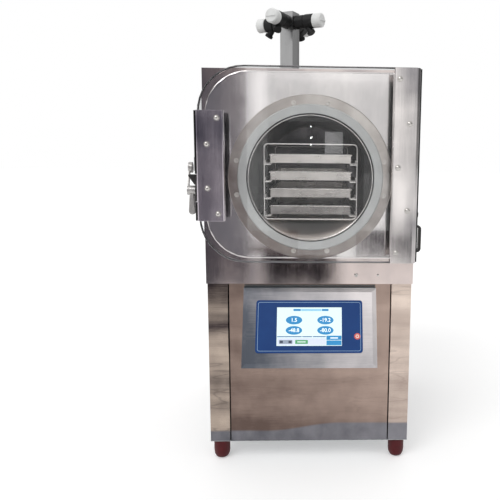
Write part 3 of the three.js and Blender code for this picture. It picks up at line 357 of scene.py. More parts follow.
def mottled(name, lumps, dark, light, dull, plain=None, spread=0.2, detail=3, skin=None, deep=0, glow=0):
    """A finish that wanders between two colours. Its roughness goes from dull up by spread, and deep is
    the depth of its relief. skin is a finer grain for that relief, as lumps to the metre and detail,
    plain holds the shader's plain numbers, and glow is how brightly the colour is lit."""
    made, tree = material(name)
    place = tree.where()
    wander = tree.clouds(place, lumps, detail)
    sockets = {"Base Color": tree.blend(wander, dark, light), "Roughness": dull + wander * spread}
    if deep:
        grain = tree.clouds(place, (skin[0],) * 3, skin[1]) if skin else wander
        sockets["Normal"] = tree.bump(grain, deep)
    if glow:
        sockets["Emission Color"] = sockets["Base Color"]
        sockets["Emission Strength"] = glow
    tree.surface({**sockets, **(plain or {})})
    return made


feet = [f"foot_{corner}" for corner in ("front_left", "front_right", "rear_left", "rear_right")]
foot_rubber = mottled(
    "foot_rubber", (60, 60, 90), chip(62, 6, 12), chip(90, 20, 26), 0.42, {"Specular IOR Level": 0.3},
    detail=4, skin=(900, 2), deep=0.04 * mm
)
dress(foot_rubber, *feet, crisp=35)

# ---- Base pan and deck ----
# Galvanised sheet, folded up at its edges: one carries the machinery and one closes the top of the
# lower half. The zinc dries in flat crystals a few millimetres across.


def galvanised(name, dark, light):
    """Hot-dip zinc, whose crystals each take a slightly different grey."""
    made, tree = material(name)
    place = tree.where()
    wander = tree.node("TexNoise", {}, {"Vector": place, "Scale": 90.0, "Detail": 2.0})["Color"]
    shifted = tree.node("VectorMath", {"operation": "MULTIPLY_ADD"}, {
        0: wander, 1: (0.006, 0.006, 0.006), 2: place,
    })["Vector"]
    crystal = tree.node("TexVoronoi", {}, {"Vector": shifted, "Scale": 130.0})
    tone = tree.node("SeparateColor", {}, {"Color": crystal["Color"]})["Red"]
    smear = tree.clouds(place, (9, 9, 9), 3)
    tree.surface({
        "Base Color": tree.blend(tone * 0.7 + smear * 0.3, dark, light),
        "Metallic": 1.0,
        "Roughness": 0.38 + tone * 0.16,
        "Normal": tree.bump(tone, 0.02 * mm),
    })
    return made


zinc_sheet = galvanised("zinc_sheet", chip(150, 154, 157), chip(196, 199, 201))
dress(zinc_sheet, "base_pan", "mid_deck")

# ---- Corner posts ----
# Polished stainless sheet folded to an angle, with its edges turned in again behind the panels. Its
# colour carries painted reflections: soft bands across it, tones at each height and a greyer strip at the
# foot of each post, a painted reflection of the floor. Smears of handling show on it too.


def sheet_steel(
    name, dark, light, bands, brush, middle=0.5, painted_sheen_slope=0.0, painted_levels=(), painted_band_contrast=1.5, dull=0.2,
    wave=1.2 * mm, foot=None, crease_reflection_depth=0.3, wiped=0.45
):
    """Polished sheet whose colour carries painted reflections. bands and brush are lumps to the metre along
    X,
    Y and Z, for the broad painted reflection bands and the brushed grain; the slope and the height levels
    paint reflections lighter to the right and at each height in millimetres, foot is a greyer strip at its
    foot that paints the floor's reflection, and wiped is how strongly the smears of a cleaning cloth show."""
    made, tree = material(name)
    place = tree.where()
    part = tree.node("SeparateXYZ", {}, {"Vector": place})
    painted_reflection_bands = tree.clouds(place, bands, 2)
    lines = tree.clouds(place, brush, 2)
    smear = tree.clouds(place, (21, 21, 17), 3)
    # The broad bands, the slope and the tones at each height are painted reflections; the brush lines are
    # grain and the smears real wiping marks.
    share = middle + (painted_reflection_bands - 0.5) * painted_band_contrast + (lines - 0.5) * 0.3
    share = share + part["X"] * painted_sheen_slope + (smear - 0.5) * wiped
    if painted_levels:
        top = 1400 * mm
        stops = [(level_at * mm / top, grey(tone)) for level_at, tone in painted_levels]
        share = share + tree.node("ValToRGB", {"stops": stops}, {"Fac": part["Z"] / top})["Color"] - 0.5
    colour = tree.blend(share, dark, light)
    # The strip at the foot is a painted reflection of the floor, with a wavy upper edge.
    if foot:
        floor_reflection_line, lift, floor_reflection_dark, floor_reflection_light = foot
        # Thin dark lines along the sheet's creases: painted dark reflection lines.
        ripple = (tree.clouds(place, (2.6, 2.6, 15), 3) - 0.5).size()
        painted_crease_lines = tree.ramp(ripple, 0.014, 0.0, 0.0, crease_reflection_depth)
        colour = tree.blend(painted_crease_lines, colour, dark)
        floor_reflection_edge = tree.clouds(place, (3.2, 3.2, 0.1), 1)
        rise = tree.ramp(part["X"], -0.14, 0.1, -lift, lift)
        height = part["Z"] - rise - (floor_reflection_edge - 0.5) * 10 * mm
        low = tree.ramp(height, floor_reflection_line + 4 * mm, floor_reflection_line - 4 * mm)
        floor_reflection = tree.blend(smear * 1.6 - 0.3 + part["X"], floor_reflection_dark, floor_reflection_light)
        colour = tree.blend(low, colour, floor_reflection)
    swell = tree.bump(tree.clouds(place, (3.3, 3.3, 2.1), 0), wave)
    tree.surface({
        "Base Color": colour,
        "Metallic": 1.0,
        "Roughness": dull + (lines - 0.5) * 0.12 + (smear - 0.5) * 0.1,
        "Normal": tree.bump(lines, 0.012 * mm, swell),
    })
    return made


post_reflection_bands = (1.3, 1.3, 17)
brushed_level = (14, 14, 900)
foot_reflection_top = 107 * mm
foot_reflection = (foot_reflection_top, 12 * mm, chip(98, 98, 104), chip(138, 137, 143))
plain_foot_reflection = (foot_reflection_top, 0, chip(112, 111, 116), chip(136, 134, 138))
# The left post is the darker copy and the right the lighter: painted shade and painted reflection. Each
# height's tone below is a painted reflection.
post_left = sheet_steel(
    "post_steel_left", chip(62, 54, 56), chip(214, 196, 180), post_reflection_bands, brushed_level, foot=foot_reflection,
    painted_levels=[
        (110, 0.5), (160, 0.58), (235, 0.3), (262, 0.24), (280, 0.2), (296, 0.42), (350, 0.48),
        (392, 0.54), (420, 0.12), (470, 0.24), (520, 0.18),
    ],
)
post_right = sheet_steel(
    "post_steel_right", chip(150, 132, 124), chip(238, 221, 208), post_reflection_bands, brushed_level,
    painted_levels=[(110, 0.26), (190, 0.34), (345, 0.56), (500, 0.62)], foot=foot_reflection
)
dress(post_left, "post_front_left")
dress(post_right, "post_front_right")

# ---- Lower panels ----
# Four lift-off panels of the same polished sheet with turned-in edges. Those at the sides and the back
# are held by small pan-head screws; the back one is louvred for the condenser's air.
# The front panel's colour is painted: its lighter right side, its tones at each height, its dark crease
# lines and the greyer strip at its foot are painted reflections. The sides and back carry milder painted
# bands and foot strips.
lower_steel = sheet_steel(
    "lower_steel", chip(102, 86, 80), chip(190, 168, 156), (2, 2, 12), brushed_level,
    painted_levels=[(110, 0.3), (143, 0.34), (205, 0.46), (268, 0.44), (420, 0.43), (520, 0.42)],
    painted_band_contrast=0.9, painted_sheen_slope=0.9, foot=foot_reflection, crease_reflection_depth=0.12
)
dress(lower_steel, "lower_front_panel")
plain_steel = sheet_steel(
    "plain_steel", chip(158, 153, 152), chip(204, 199, 197), (1.3, 1.3, 8), brushed_level, painted_band_contrast=0.7,
    foot=plain_foot_reflection, crease_reflection_depth=0.04, wiped=0.2
)
plain_sheets = [
    "post_rear_left", "post_rear_right",
    "lower_side_panel_left", "lower_side_panel_right", "lower_rear_panel",
]
dress(plain_steel, *plain_sheets)
smooth(25, "post_front_left", "post_front_right", "lower_front_panel", *plain_sheets)


def stand(place, out):
    """Where a thing stands on a surface: its own Z points out of it."""
    return Matrix.Translation(place) @ Vector(out).to_track_quat("Z", "Y").to_matrix().to_4x4()


def wall_between(mesh, low, high):
    """Adds the faces between two rings with as many points each."""
    for step in range(len(low)):
        after = (step + 1) % len(low)
        mesh.faces.new((low[step], low[after], high[after], high[step]))


def turned(mesh, profile, seat, sides, six=()):
    """Adds a solid turned about the seat's Z. profile is (radius, height) from the middle of its foot
    to the middle of its head, and the entries numbered in six are hexagons."""
    rings = []
    for number, (radius, height) in enumerate(profile):
        ring = []
        for step in range(sides if radius else 1):
            angle = math.tau * step / sides
            reach = radius
            if number in six:
                reach = radius / math.cos(angle % (math.pi / 3) - math.pi / 6)
            spot = Vector((reach * math.cos(angle), reach * math.sin(angle), height))
            ring.append(mesh.verts.new(seat @ spot))
        rings.append(ring)
    for low, high in zip(rings, rings[1:]):
        if len(low) == len(high):
            wall_between(mesh, low, high)
            continue
        for step in range(sides):
            after = (step + 1) % sides
            if len(low) == 1:
                mesh.faces.new((low[0], high[after], high[step]))
            else:
                mesh.faces.new((low[step], low[after], high[0]))


def piece(name, mesh, finish, body):
    """An added piece: its mesh and finish, and the body that it moves with."""
    bmesh.ops.recalc_face_normals(mesh, faces=mesh.faces)
    data = bpy.data.meshes.new(name)
    mesh.to_mesh(data)
    mesh.free()
    data.materials.append(finish)
    data.polygons.foreach_set("use_smooth", [True] * len(data.polygons))
    data.set_sharp_from_angle(angle=math.radians(32))
    made = bpy.data.objects.new(name, data)
    scene.collection.objects.link(made)
    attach(made, body)
    return made


def pan_screw(mesh, place, out, radius=3.4 * mm):
    """A low domed head with a hexagon socket."""
    high = 0.62 * radius
    turned(mesh, [
        (0, 0), (radius, 0), (radius, 0.25 * high), (0.93 * radius, 0.62 * high),
        (0.72 * radius, 0.9 * high), (0.5 * radius, high), (0.42 * radius, high),
        (0.42 * radius, 0.45 * high), (0, 0.4 * high),
    ], stand(place, out), 18, six=(6, 7))


metal = {"Metallic": 1.0}
screw_steel = mottled(
    "screw_steel", (400, 400, 400), chip(176, 172, 168), chip(226, 223, 219), 0.16, metal, spread=0.14
)
screws = bmesh.new()
inset = 14 * mm
up_from = 16 * mm
for side, out in (("left", -1), ("right", 1)):
    low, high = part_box(f"lower_side_panel_{side}")
    face = low.x if out < 0 else high.x
    for along in (low.y + inset, high.y - inset):
        for level_at in (low.z + up_from, (low.z + high.z) / 2, high.z - up_from):
            pan_screw(screws, (face, along, level_at), (out, 0, 0))
low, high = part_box("lower_rear_panel")
for along in (low.x + inset, (low.x + high.x) / 2, high.x - inset):
    for level_at in (low.z + inset, high.z - inset):
        pan_screw(screws, (along, high.y, level_at), (0, 1, 0))
piece("panel_screws", screws, screw_steel, "root")

# ---- Upper half of the cabinet ----
# One folded and welded hood of polished sheet, with a plain front that the chamber passes through and
# a back panel screwed in behind it.
brushed_upright = (900, 900, 9)
# The hood's broad bands and the front panel's darker left and lighter right are painted reflections.
hood_steel = sheet_steel(
    "hood_steel", chip(154, 150, 151), chip(210, 205, 202), (4, 4, 0.9), brushed_upright,
    painted_band_contrast=0.8, wiped=0.1
)
front_steel = sheet_steel(
    "front_steel", chip(120, 115, 120), chip(232, 217, 211), (7, 7, 1.2), brushed_upright,
    painted_sheen_slope=0.7, dull=0.11
)
dress(hood_steel, "upper_shell", "upper_rear_panel")
dress(front_steel, "upper_front_panel")
smooth(25, "upper_shell", "upper_rear_panel", "upper_front_panel")
screws = bmesh.new()
low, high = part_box("upper_rear_panel")
inset = 12 * mm
for along in (low.x + inset, (low.x + high.x) / 2, high.x - inset):
    for level_at in (low.z + up_from, high.z - up_from):
        pan_screw(screws, (along, high.y, level_at), (0, 1, 0))
for level_at in ((2 * low.z + high.z) / 3, (low.z + 2 * high.z) / 3):
    for along in (low.x + inset, high.x - inset):
        pan_screw(screws, (along, high.y, level_at), (0, 1, 0))
front_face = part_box("upper_front_panel")[0].y
under_door = 580 * mm
for along, radius in ((134 * mm, 6 * mm), (198 * mm, 3.6 * mm)):
    pan_screw(screws, (along, front_face, under_door), (0, -1, 0), radius)
piece("hood_screws", screws, screw_steel, "root")

# ---- Fascia ----
# A raised plate of polished sheet with folded edges and large rounded corners on the latch side. It
# stands behind the clear door and carries the chamber's mouth.
# Its broad bands and its lighter right side are painted reflections.
fascia_steel = sheet_steel(
    "fascia_steel", chip(196, 191, 192), chip(242, 236, 234), (8, 8, 0.8), brushed_upright,
    painted_sheen_slope=0.5, dull=0.1
)
dress(fascia_steel, "front_fascia", crisp=25)

# ---- Chamber ----
# A rolled and welded drum, electropolished inside, wrapped in closed-cell foam. Its mouth is a ring
# bolted through the fascia with eight socket-head bolts in pairs.
ring_low, ring_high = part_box("chamber_flange")
centre = (ring_low + ring_high) / 2
drum_steel, tree = material("drum_steel")
place = tree.where()
# The walls' colour is painted: high-contrast blotches are painted reflections, and the walls are painted
# darker towards the top and lighter low down as painted shade. The floor is painted pale, dull and hardly
# metallic so that it lights up: painted light.
hoops = tree.clouds(place, (2, 70, 2), 2)
blotches_and_sheen = tree.clouds(place, (9, 5, 9), 3)
part = tree.node("SeparateXYZ", {}, {"Vector": place})
floor_begins, floor_bottom = 760 * mm, 715 * mm
painted_floor_light = tree.ramp(part["Z"], floor_begins, floor_bottom)
painted_shade_and_sheen = (blotches_and_sheen - 0.5) * 2.6 + 0.42 - (part["Z"] - centre.z) * 2.4
wall = tree.blend(painted_shade_and_sheen, chip(30, 28, 32), chip(140, 135, 137))
tree.surface({
    "Base Color": tree.blend(painted_floor_light, wall, chip(255, 241, 233)),
    "Metallic": 1 - painted_floor_light * 0.92,
    "Roughness": 0.1 + hoops * 0.08 + blotches_and_sheen * 0.06 + painted_floor_light * 0.3,
    "Normal": tree.bump(blotches_and_sheen, 0.2 * mm),
})
dress(drum_steel, "chamber_drum", crisp=28)
foam, tree = material("jacket_foam")
place = tree.where()
cells = tree.node("TexVoronoi", {}, {"Vector": place, "Scale": 420.0})["Distance"]
tree.surface({
    "Base Color": tree.blend(cells, chip(38, 38, 40), chip(58, 58, 60)),
    "Roughness": 0.9,
    "Normal": tree.bump(cells, 0.5 * mm),
})
dress(foam, "chamber_insulation")
ring_steel, tree = material("ring_steel")
place = tree.where()
from_centre = tree.node("VectorMath", {"operation": "SUBTRACT"}, {0: place, 1: centre})["Vector"]
part = tree.node("SeparateXYZ", {}, {"Vector": from_centre})
out_from = (part["X"] * part["X"] + part["Z"] * part["Z"]).root()
turning_marks = 5200
tooling = (out_from * turning_marks).wave()
wear_and_sheen = tree.clouds(place, (14, 14, 14), 3)
# The ring is painted lighter toward the upper right, a painted reflection, and its wear blotches are
# strengthened into painted reflections too; the turning marks are real.
tone_and_painted_sheen = (wear_and_sheen - 0.5) * 1.5 + 0.5 + part["X"] * 1.1 + part["Z"] * 1.1
tone_and_painted_sheen = tone_and_painted_sheen + (tooling - 0.5) * 0.06
tree.surface({
    "Base Color": tree.blend(tone_and_painted_sheen, chip(138, 126, 122), chip(212, 205, 200)),
    "Metallic": 1.0,
    "Roughness": 0.24 + wear_and_sheen * 0.14,
    "Normal": tree.bump(tooling, 0.008 * mm),
})
dress(ring_steel, "chamber_flange", crisp=28)
bolt_steel = mottled(
    "bolt_steel", (300, 300, 300), chip(186, 180, 176), chip(232, 227, 222), 0.28, metal, spread=0.14
)
bolts = bmesh.new()
bolt_circle = ring_high.x - centre.x - 19 * mm
head = 5.8 * mm
collar = 1.25 * head
socket = 0.56 * head
for side in range(4):
    for splay in (-13, 13):
        angle = math.radians(90 * side + splay)
        x = centre.x + bolt_circle * math.cos(angle)
        z = centre.z + bolt_circle * math.sin(angle)
        turned(bolts, [
            (0, -6 * mm), (4.2 * mm, -6 * mm), (4.2 * mm, 0), (collar, 0), (collar, 0.9 * mm),
            (head, 0.9 * mm), (head, 3.6 * mm), (0.88 * head, 4.4 * mm), (0.7 * head, 4.4 * mm),
            (socket, 4.1 * mm), (socket, 0.9 * mm), (0, 0.7 * mm),
        ], stand((x, ring_low.y, z), (0, -1, 0)), 24, six=(9, 10))
piece("ring_bolts", bolts, bolt_steel, "root")

# ---- Door seal ----
# A round-edged ring of pale silicone that the door presses on. Inside it a bright bead is welded round
# the drum's mouth, with a black ring before it that is painted shade for the shadowed groove there.
silicone = mottled(
    "seal_silicone", (30, 30, 30), chip(174, 174, 174), chip(196, 196, 195), 0.38,
    {"Subsurface Weight": 0.1, "Subsurface Radius": (0.004, 0.004, 0.004)}, spread=0.15, deep=0.15 * mm
)
dress(silicone, "door_gasket", crisp=35)


def rod(mesh, points, radius, closed=False, sides=12):
    """Adds a round bar that follows the points."""
    count = len(points)
    rings = []
    for number, point in enumerate(points):
        before = points[(number - 1) % count] if closed or number else point
        after = points[(number + 1) % count] if closed or number < count - 1 else point
        along = (Vector(after) - Vector(before)).normalized()
        side = along.cross((0, 1, 0)) if abs(along.y) < 0.9 else along.cross((1, 0, 0))
        side.normalize()
        rise = side.cross(along)
        rings.append([
            mesh.verts.new(Vector(point) + radius * (math.cos(a) * side + math.sin(a) * rise))
            for a in (math.tau * step / sides for step in range(sides))
        ])
    for low, high in zip(rings, rings[1:]):
        wall_between(mesh, low, high)
    if closed:
        wall_between(mesh, rings[-1], rings[0])
    else:
        mesh.faces.new(rings[0])
        mesh.faces.new(rings[-1])


bright_steel = mottled(
    "bright_steel", (16, 8, 30), chip(204, 200, 198), chip(244, 240, 237), 0.2, metal,
    spread=0.1, deep=0.15 * mm
)


def ink(name, colour, light=0.0, dull=0.4):
    """Printed or lit colour, very slightly uneven."""
    deeper = (*(value * 0.88 for value in colour[:3]), 1)
    return mottled(name, (260, 260, 260), deeper, colour, dull, spread=0.08, detail=2, glow=light)


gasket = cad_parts["door_gasket"].data.vertices
bore = min(math.hypot(v.co.x - centre.x, v.co.z - centre.z) for v in gasket)
gasket_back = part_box("door_gasket")[1].y
# A black that stands in for shade: painted shade in the groove round the mouth and along the door channels'
# shaded edges.
painted_shade_black = ink("painted_shade_black", chip(20, 19, 20), dull=0.5)
round_mouth = [math.tau * step / 96 for step in range(96)]
for name, finish, slot, inset, along in (
    ("mouth_bead", bright_steel, "polished_steel", 4.6 * mm, gasket_back + 3 * mm),
    ("mouth_shade_ring", painted_shade_black, "valve_rubber", 1.6 * mm, gasket_back - 1 * mm),
):
    hoop = bmesh.new()
    reach = bore - inset
    rod(hoop, [
        (centre.x + reach * math.cos(a), along, centre.z + reach * math.sin(a)) for a in round_mouth
    ], 1.5 * mm, closed=True, sides=10)
    piece(name, hoop, finish, "root")

# ---- Rack and trays ----
# A welded rack of bright round rod: a hoop at each end, two skids along the foot and a pair of angle
# runners for each tray. It slides out of the drum with its four pressed trays, whose rims are rolled.


def rounded(half_width, low, high, corner, steps=7):
    """The points of an upright rectangle with round corners, as (x, z) about x = 0."""
    middles = [
        (half_width - corner, high - corner, 0), (corner - half_width, high - corner, 90),
        (corner - half_width, low + corner, 180), (half_width - corner, low + corner, 270),
    ]
    return [
        (x + corner * math.cos(angle), z + corner * math.sin(angle))
        for x, z, start in middles
        for angle in (math.radians(start + 90 * step / steps) for step in range(steps + 1))
    ]


def block(mesh, low, high, round_off):
    """Adds a rectangular block between two corners, with its edges rounded off."""
    whole = bmesh.ops.create_cube(mesh, size=1)["verts"]
    low, high = Vector(low), Vector(high)
    for vert in whole:
        vert.co = Vector((low[i] + (vert.co[i] + 0.5) * (high[i] - low[i]) for i in range(3)))
    edges = list(dict.fromkeys(floor_reflection_edge for vert in whole for floor_reflection_edge in vert.link_edges))
    bmesh.ops.bevel(mesh, geom=edges, offset=round_off, segments=2, profile=0.6, affect="EDGES")


def ring_on(mesh, seat, outer, inner, thickness):
    """Adds a thin printed line between two outlines with as many points each."""
    loops = [
        [mesh.verts.new(seat @ Vector((x, y, z))) for x, y in outline]
        for outline, z in ((outer, 0), (outer, thickness), (inner, thickness), (inner, 0))
    ]
    for first, second in zip(loops, loops[1:] + loops[:1]):
        wall_between(mesh, first, second)


low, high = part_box("shelf_rack")
middle = (low.x + high.x) / 2
thick = 2.4 * mm
thin = 2 * mm
front, rear, foot, head = low.y + 3 * mm, high.y - 3 * mm, low.z + 3 * mm, high.z - 3 * mm
half_rack = (high.x - low.x) / 2 - 3 * mm
rack = bmesh.new()
for along in (front, rear):
    hoop = rounded(half_rack, foot, head, 11 * mm)
    rod(rack, [(middle + x, along, z) for x, z in hoop], thick, closed=True)
for hand in (-1, 1):
    for inset, level_at, radius in ((34 * mm, foot, thick), (12 * mm, head, thin)):
        x = middle + hand * (half_rack - inset)
        rod(rack, [(x, front, level_at), (x, rear, level_at)], radius)
for number in range(1, 5):
    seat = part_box(f"tray_{number}")[0].z - 0.3 * mm
    for hand in (-1, 1):
        post = middle + hand * half_rack
        outer = post - hand * 3.2 * mm
        for width, height, round_off in ((18.8 * mm, 0, 0.5 * mm), (1.6 * mm, 9 * mm, 0.4 * mm)):
            left, right = sorted((outer, outer - hand * width))
            runner = (left, front + 3 * mm, seat - thin)
            block(rack, runner, (right, rear - 3 * mm, seat + height), round_off)
        for along in (front, rear):
            rod(rack, [(post, along, seat - 4 * mm), (post - hand * 20 * mm, along, seat - 4 * mm)], thin)
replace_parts(piece("tray_rack", rack, bright_steel, "root"), "shelf_rack")
trays = [f"tray_{number}" for number in range(1, 5)]
# The trays' colour is painted by height: the lower trays darker as painted shade deeper in the chamber, and
# the bright range a painted reflection.
tray_steel = sheet_steel(
    "tray_steel", chip(96, 91, 91), chip(255, 248, 243), (4, 4, 30), (8, 8, 50), painted_levels=[
        (757, 0.18), (781, 0.3), (806, 0.46), (830, 0.56), (855, 0.6), (880, 0.72), (904, 0.64), (930, 0.72),
    ], painted_band_contrast=0.4, dull=0.28, wave=0.3 * mm
)
dress(tray_steel, *trays, crisp=20)
rims = bmesh.new()
inset = 1 * mm
cut_corner = 3 * mm
for tray in trays:
    low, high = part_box(tray)
    path = [
        (low.x + inset, low.y + inset), (high.x - inset, low.y + inset),
        (high.x - inset, high.y - inset), (low.x + inset, high.y - inset),
    ]
    bent = []
    for number, (x, y) in enumerate(path):
        for other in (path[number - 1], path[(number + 1) % 4]):
            step = (Vector(other) - Vector((x, y))).normalized() * cut_corner
            bent.append((x + step.x, y + step.y, high.z))
    rod(rims, bent, 2 * mm, closed=True, sides=10)
piece("tray_rims", rims, bright_steel, "root")

# ---- Door window ----
# One thick plate of cast acrylic with polished faces and large rounded corners on the latch side. It
# lets the lamps through to the chamber. Its edge is sawn, and the grey band round it is painted darker
# than a sawn edge would be: painted shade for the dark look that refraction gives a thick clear edge.
acrylic, tree = material("clear_acrylic")
clear = tree.node("BsdfPrincipled", {}, {
    "Base Color": chip(253, 254, 254), "Roughness": 0.0, "IOR": 1.49, "Transmission Weight": 1.0,
})["BSDF"]
open_air = tree.node("BsdfTransparent", {}, {"Color": chip(252, 253, 253)})["BSDF"]
ray = tree.node("LightPath", {}, {})
passed = tree.node("MixShader", {}, {0: ray["Is Shadow Ray"], 1: clear, 2: open_air})["Shader"]
tree.node("OutputMaterial", {}, {"Surface": passed})
dress(acrylic, "door_window")
smooth(20, "door_window", fold=2.4 * mm)
low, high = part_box("door_window")
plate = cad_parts["door_window"].data
rim = {(round(v.co.x, 5), round(v.co.z, 5)) for v in plate.vertices if v.co.y < low.y + 0.1 * mm}
middle = ((low.x + high.x) / 2, (low.z + high.z) / 2)
rim = sorted(rim, key=lambda p: math.atan2(p[1] - middle[1], p[0] - middle[0]))
rim = [(x - middle[0], z - middle[1]) for x, z in rim]
proud = 0.5 * mm
wider, taller = 1 + proud / abs(high.x - middle[0]), 1 + proud / abs(high.z - middle[1])
grown = [(x * wider, z * taller) for x, z in rim]
# A grey band round the plate's edge: partly a sawn edge, partly painted shade for the refraction's dark
# look.
sawn_edge_shade = mottled(
    "sawn_edge_shade", (300, 20, 300), chip(70, 70, 74), chip(112, 111, 115), 0.5, detail=2
)
edging = bmesh.new()
polished = 2.6 * mm
seat = Matrix.Translation((middle[0], high.y - polished, middle[1]))
seat = seat @ Matrix.Rotation(math.pi / 2, 4, "X")
ring_on(edging, seat, grown, rim, high.y - low.y - 2 * polished)
piece("door_edging", edging, sawn_edge_shade, "door")

# ---- Door channels ----
# Folded stainless channels clamp the plate's two upright edges: the wide one carries the hinges and the
# short one the latch. Domed screws in two staggered rows go through each and into the plate. Strips of
# black along their outer edges are painted shade, standing in for the channels' shaded side edges.
# Both channels' colours are painted reflections: the hinge channel darker toward the right and banded by
# height, the latch channel with a dark painted reflection band near its top.
hinge_steel = sheet_steel(
    "hinge_steel", chip(150, 147, 149), chip(252, 246, 243), (15, 15, 3.2), brushed_upright,
    middle=2.1, painted_sheen_slope=-6.0, dull=0.15, wave=0.6 * mm,
    painted_levels=[(640, 0.5), (668, 0.26), (740, 0.2), (800, 0.5), (1050, 0.56), (1100, 0.14)]
)
latch_steel = sheet_steel(
    "latch_steel", chip(112, 108, 122), chip(228, 220, 226), (18, 18, 2.2), brushed_upright,
    painted_levels=[(750, 0.6), (930, 0.58), (975, 0.12), (1020, 0.1), (1040, 0.4)], dull=0.18, wave=0.8 * mm
)
dress(hinge_steel, "hinge_channel", "hinge_bracket_lower", "hinge_bracket_upper")
dress(latch_steel, "latch_channel")
smooth(28, "hinge_bracket_lower", "hinge_bracket_upper")
smooth(28, "hinge_channel", "latch_channel", fold=3 * mm)


def face_of(node, toward):
    """The flat face of a solid that looks most nearly toward a direction: a frame at its middle with X
    across, Y up the face and Z out of it, and its half width and half height."""
    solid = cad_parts[node].data
    toward = Vector(toward).normalized()

    def facing(face):
        return round(face.normal.dot(toward), 2), face.center.dot(toward)

    best = max(solid.polygons, key=facing)
    out = best.normal.normalized()
    side = Vector((0, 0, 1)).cross(out).normalized()
    up = out.cross(side)
    turn_in = Matrix((side, up, out))
    level_at = best.center.dot(out)
    flat = [
        turn_in @ solid.vertices[v].co
        for face in solid.polygons
        if face.normal.dot(out) > 0.999 and abs(face.center.dot(out) - level_at) < 0.1 * mm
        for v in face.vertices
    ]
    low = Vector([min(p[i] for p in flat) for i in range(3)])
    high = Vector([max(p[i] for p in flat) for i in range(3)])
    place_at = turn_in.transposed() @ ((low + high) / 2)
    return Matrix.Translation(place_at) @ turn_in.transposed().to_4x4(), (high - low) / 2


def domed_screw(mesh, place, out):
    """A broad domed head on a thin washer, with a hexagon socket."""
    radius = 6.4 * mm
    washer = 1 * mm
    rise = 3.6 * mm
    dome = [
        (radius * math.cos(math.radians(a)), washer + rise * math.sin(math.radians(a)))
        for a in (0, 18, 36, 52, 62)
    ]
    turned(mesh, [
        (0, 0), (8.2 * mm, 0), (8.2 * mm, 0.7 * mm), (7.9 * mm, washer), *dome,
        (2.3 * mm, 4.35 * mm), (2.2 * mm, 2.2 * mm), (0, 2.1 * mm),
    ], stand(place, out), 24, six=(9, 10))


screws = bmesh.new()
low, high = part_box("hinge_channel")
pitch = 116.5 * mm
for number in range(5):
    across_at = low.x + (43.5 * mm if number % 2 else 15 * mm)
    domed_screw(screws, (across_at, low.y, (low.z + high.z) / 2 + (2 - number) * pitch), (0, -1, 0))
low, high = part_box("latch_channel")
for inset, end in ((16.5 * mm, 20 * mm), (44 * mm, 89 * mm)):
    for level_at in (low.z + end, high.z - end):
        domed_screw(screws, (high.x - inset, low.y, level_at), (0, -1, 0))
piece("door_screws", screws, screw_steel, "door")
# Black strips standing in for the shade along the channels' outer edges: painted shade.
shade_strips = bmesh.new()
low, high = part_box("hinge_channel")
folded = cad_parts["hinge_channel"].data.vertices
side_wall = max(v.co.x for v in folded if v.co.y < low.y + 20 * mm)
end = 1 * mm
block(
    shade_strips, (side_wall - 0.2 * mm, low.y + 15 * mm, low.z + end),
    (side_wall + 4 * mm, low.y + 35 * mm, high.z - end), 1 * mm
)
low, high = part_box("latch_channel")
latch_low, latch_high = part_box("latch_base")
gap = 2 * mm
for foot, head in ((low.z + end, latch_low.z - gap), (latch_high.z + gap, high.z - end)):
    outer = (low.x - 2.8 * mm, low.y + 2 * mm, foot)
    block(shade_strips, outer, (low.x + 0.1 * mm, low.y + 30 * mm, head), 0.8 * mm)
piece("door_shade_strips", shade_strips, painted_shade_black, "door")

# ---- Hinges ----
# Two stainless brackets screwed to the cabinet's side, with the door's lugs between their ears, and one
# bright rod through both.
chrome = mottled(
    "bright_chrome", (50, 50, 50), chip(168, 168, 169), chip(208, 207, 207), 0.06, metal, spread=0.1
)
dress(chrome, "hinge_rod", "latch_keeper")
smooth(32, "hinge_rod")
screws = bmesh.new()
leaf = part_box("upper_front_panel")[1].x + 3.3 * mm
for bracket in ("hinge_bracket_lower", "hinge_bracket_upper"):
    low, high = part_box(bracket)
    for along in (high.y - 8 * mm, high.y - 32 * mm):
        pan_screw(screws, (leaf, along, (low.z + high.z) / 2), (1, 0, 0), 3.2 * mm)
piece("hinge_screws", screws, screw_steel, "root")

# ---- Latch ----
# A black die-cast base screwed to the door's channel, a chromed lever with a rolled grip, and a chromed
# keeper on the cabinet that the lever's roller rides over.
satin = mottled(
    "satin_chrome", (70, 70, 50), chip(160, 158, 157), chip(206, 203, 200), 0.16, {"Metallic": 0.5}
)
dress(satin, "latch_lever", crisp=32)
black_cast = mottled(
    "black_cast", (60, 60, 60), chip(22, 21, 22), chip(46, 43, 43), 0.36, skin=(1100, 3), deep=0.05 * mm
)
dress(black_cast, "latch_base", "side_handle", "vent_knob", "console_module", "fan_rotor", "power_inlet")
smooth(32, "latch_base", "side_handle", "vent_knob", "fan_rotor")

# ---- Console ----
# A welded wedge of brushed stainless on the front panel. Dark strips over its top and under its foot are
# painted shadow for the gaps there. Its sloping face is bevelled all round and holds a blue printed bezel
# before the touch screen.
# Its colour is painted lighter to the right and higher up: painted light and reflection on its faces.
console_steel = sheet_steel(
    "console_steel", chip(100, 105, 114), chip(228, 222, 222), (4, 4, 5), (16, 900, 900),
    painted_levels=[(330, 0.3), (362, 0.34), (400, 0.45), (480, 0.5), (512, 0.62)],
    painted_band_contrast=0.8, painted_sheen_slope=2.3, dull=0.34, wave=0.4 * mm
)
dress(console_steel, "console_housing", crisp=10)
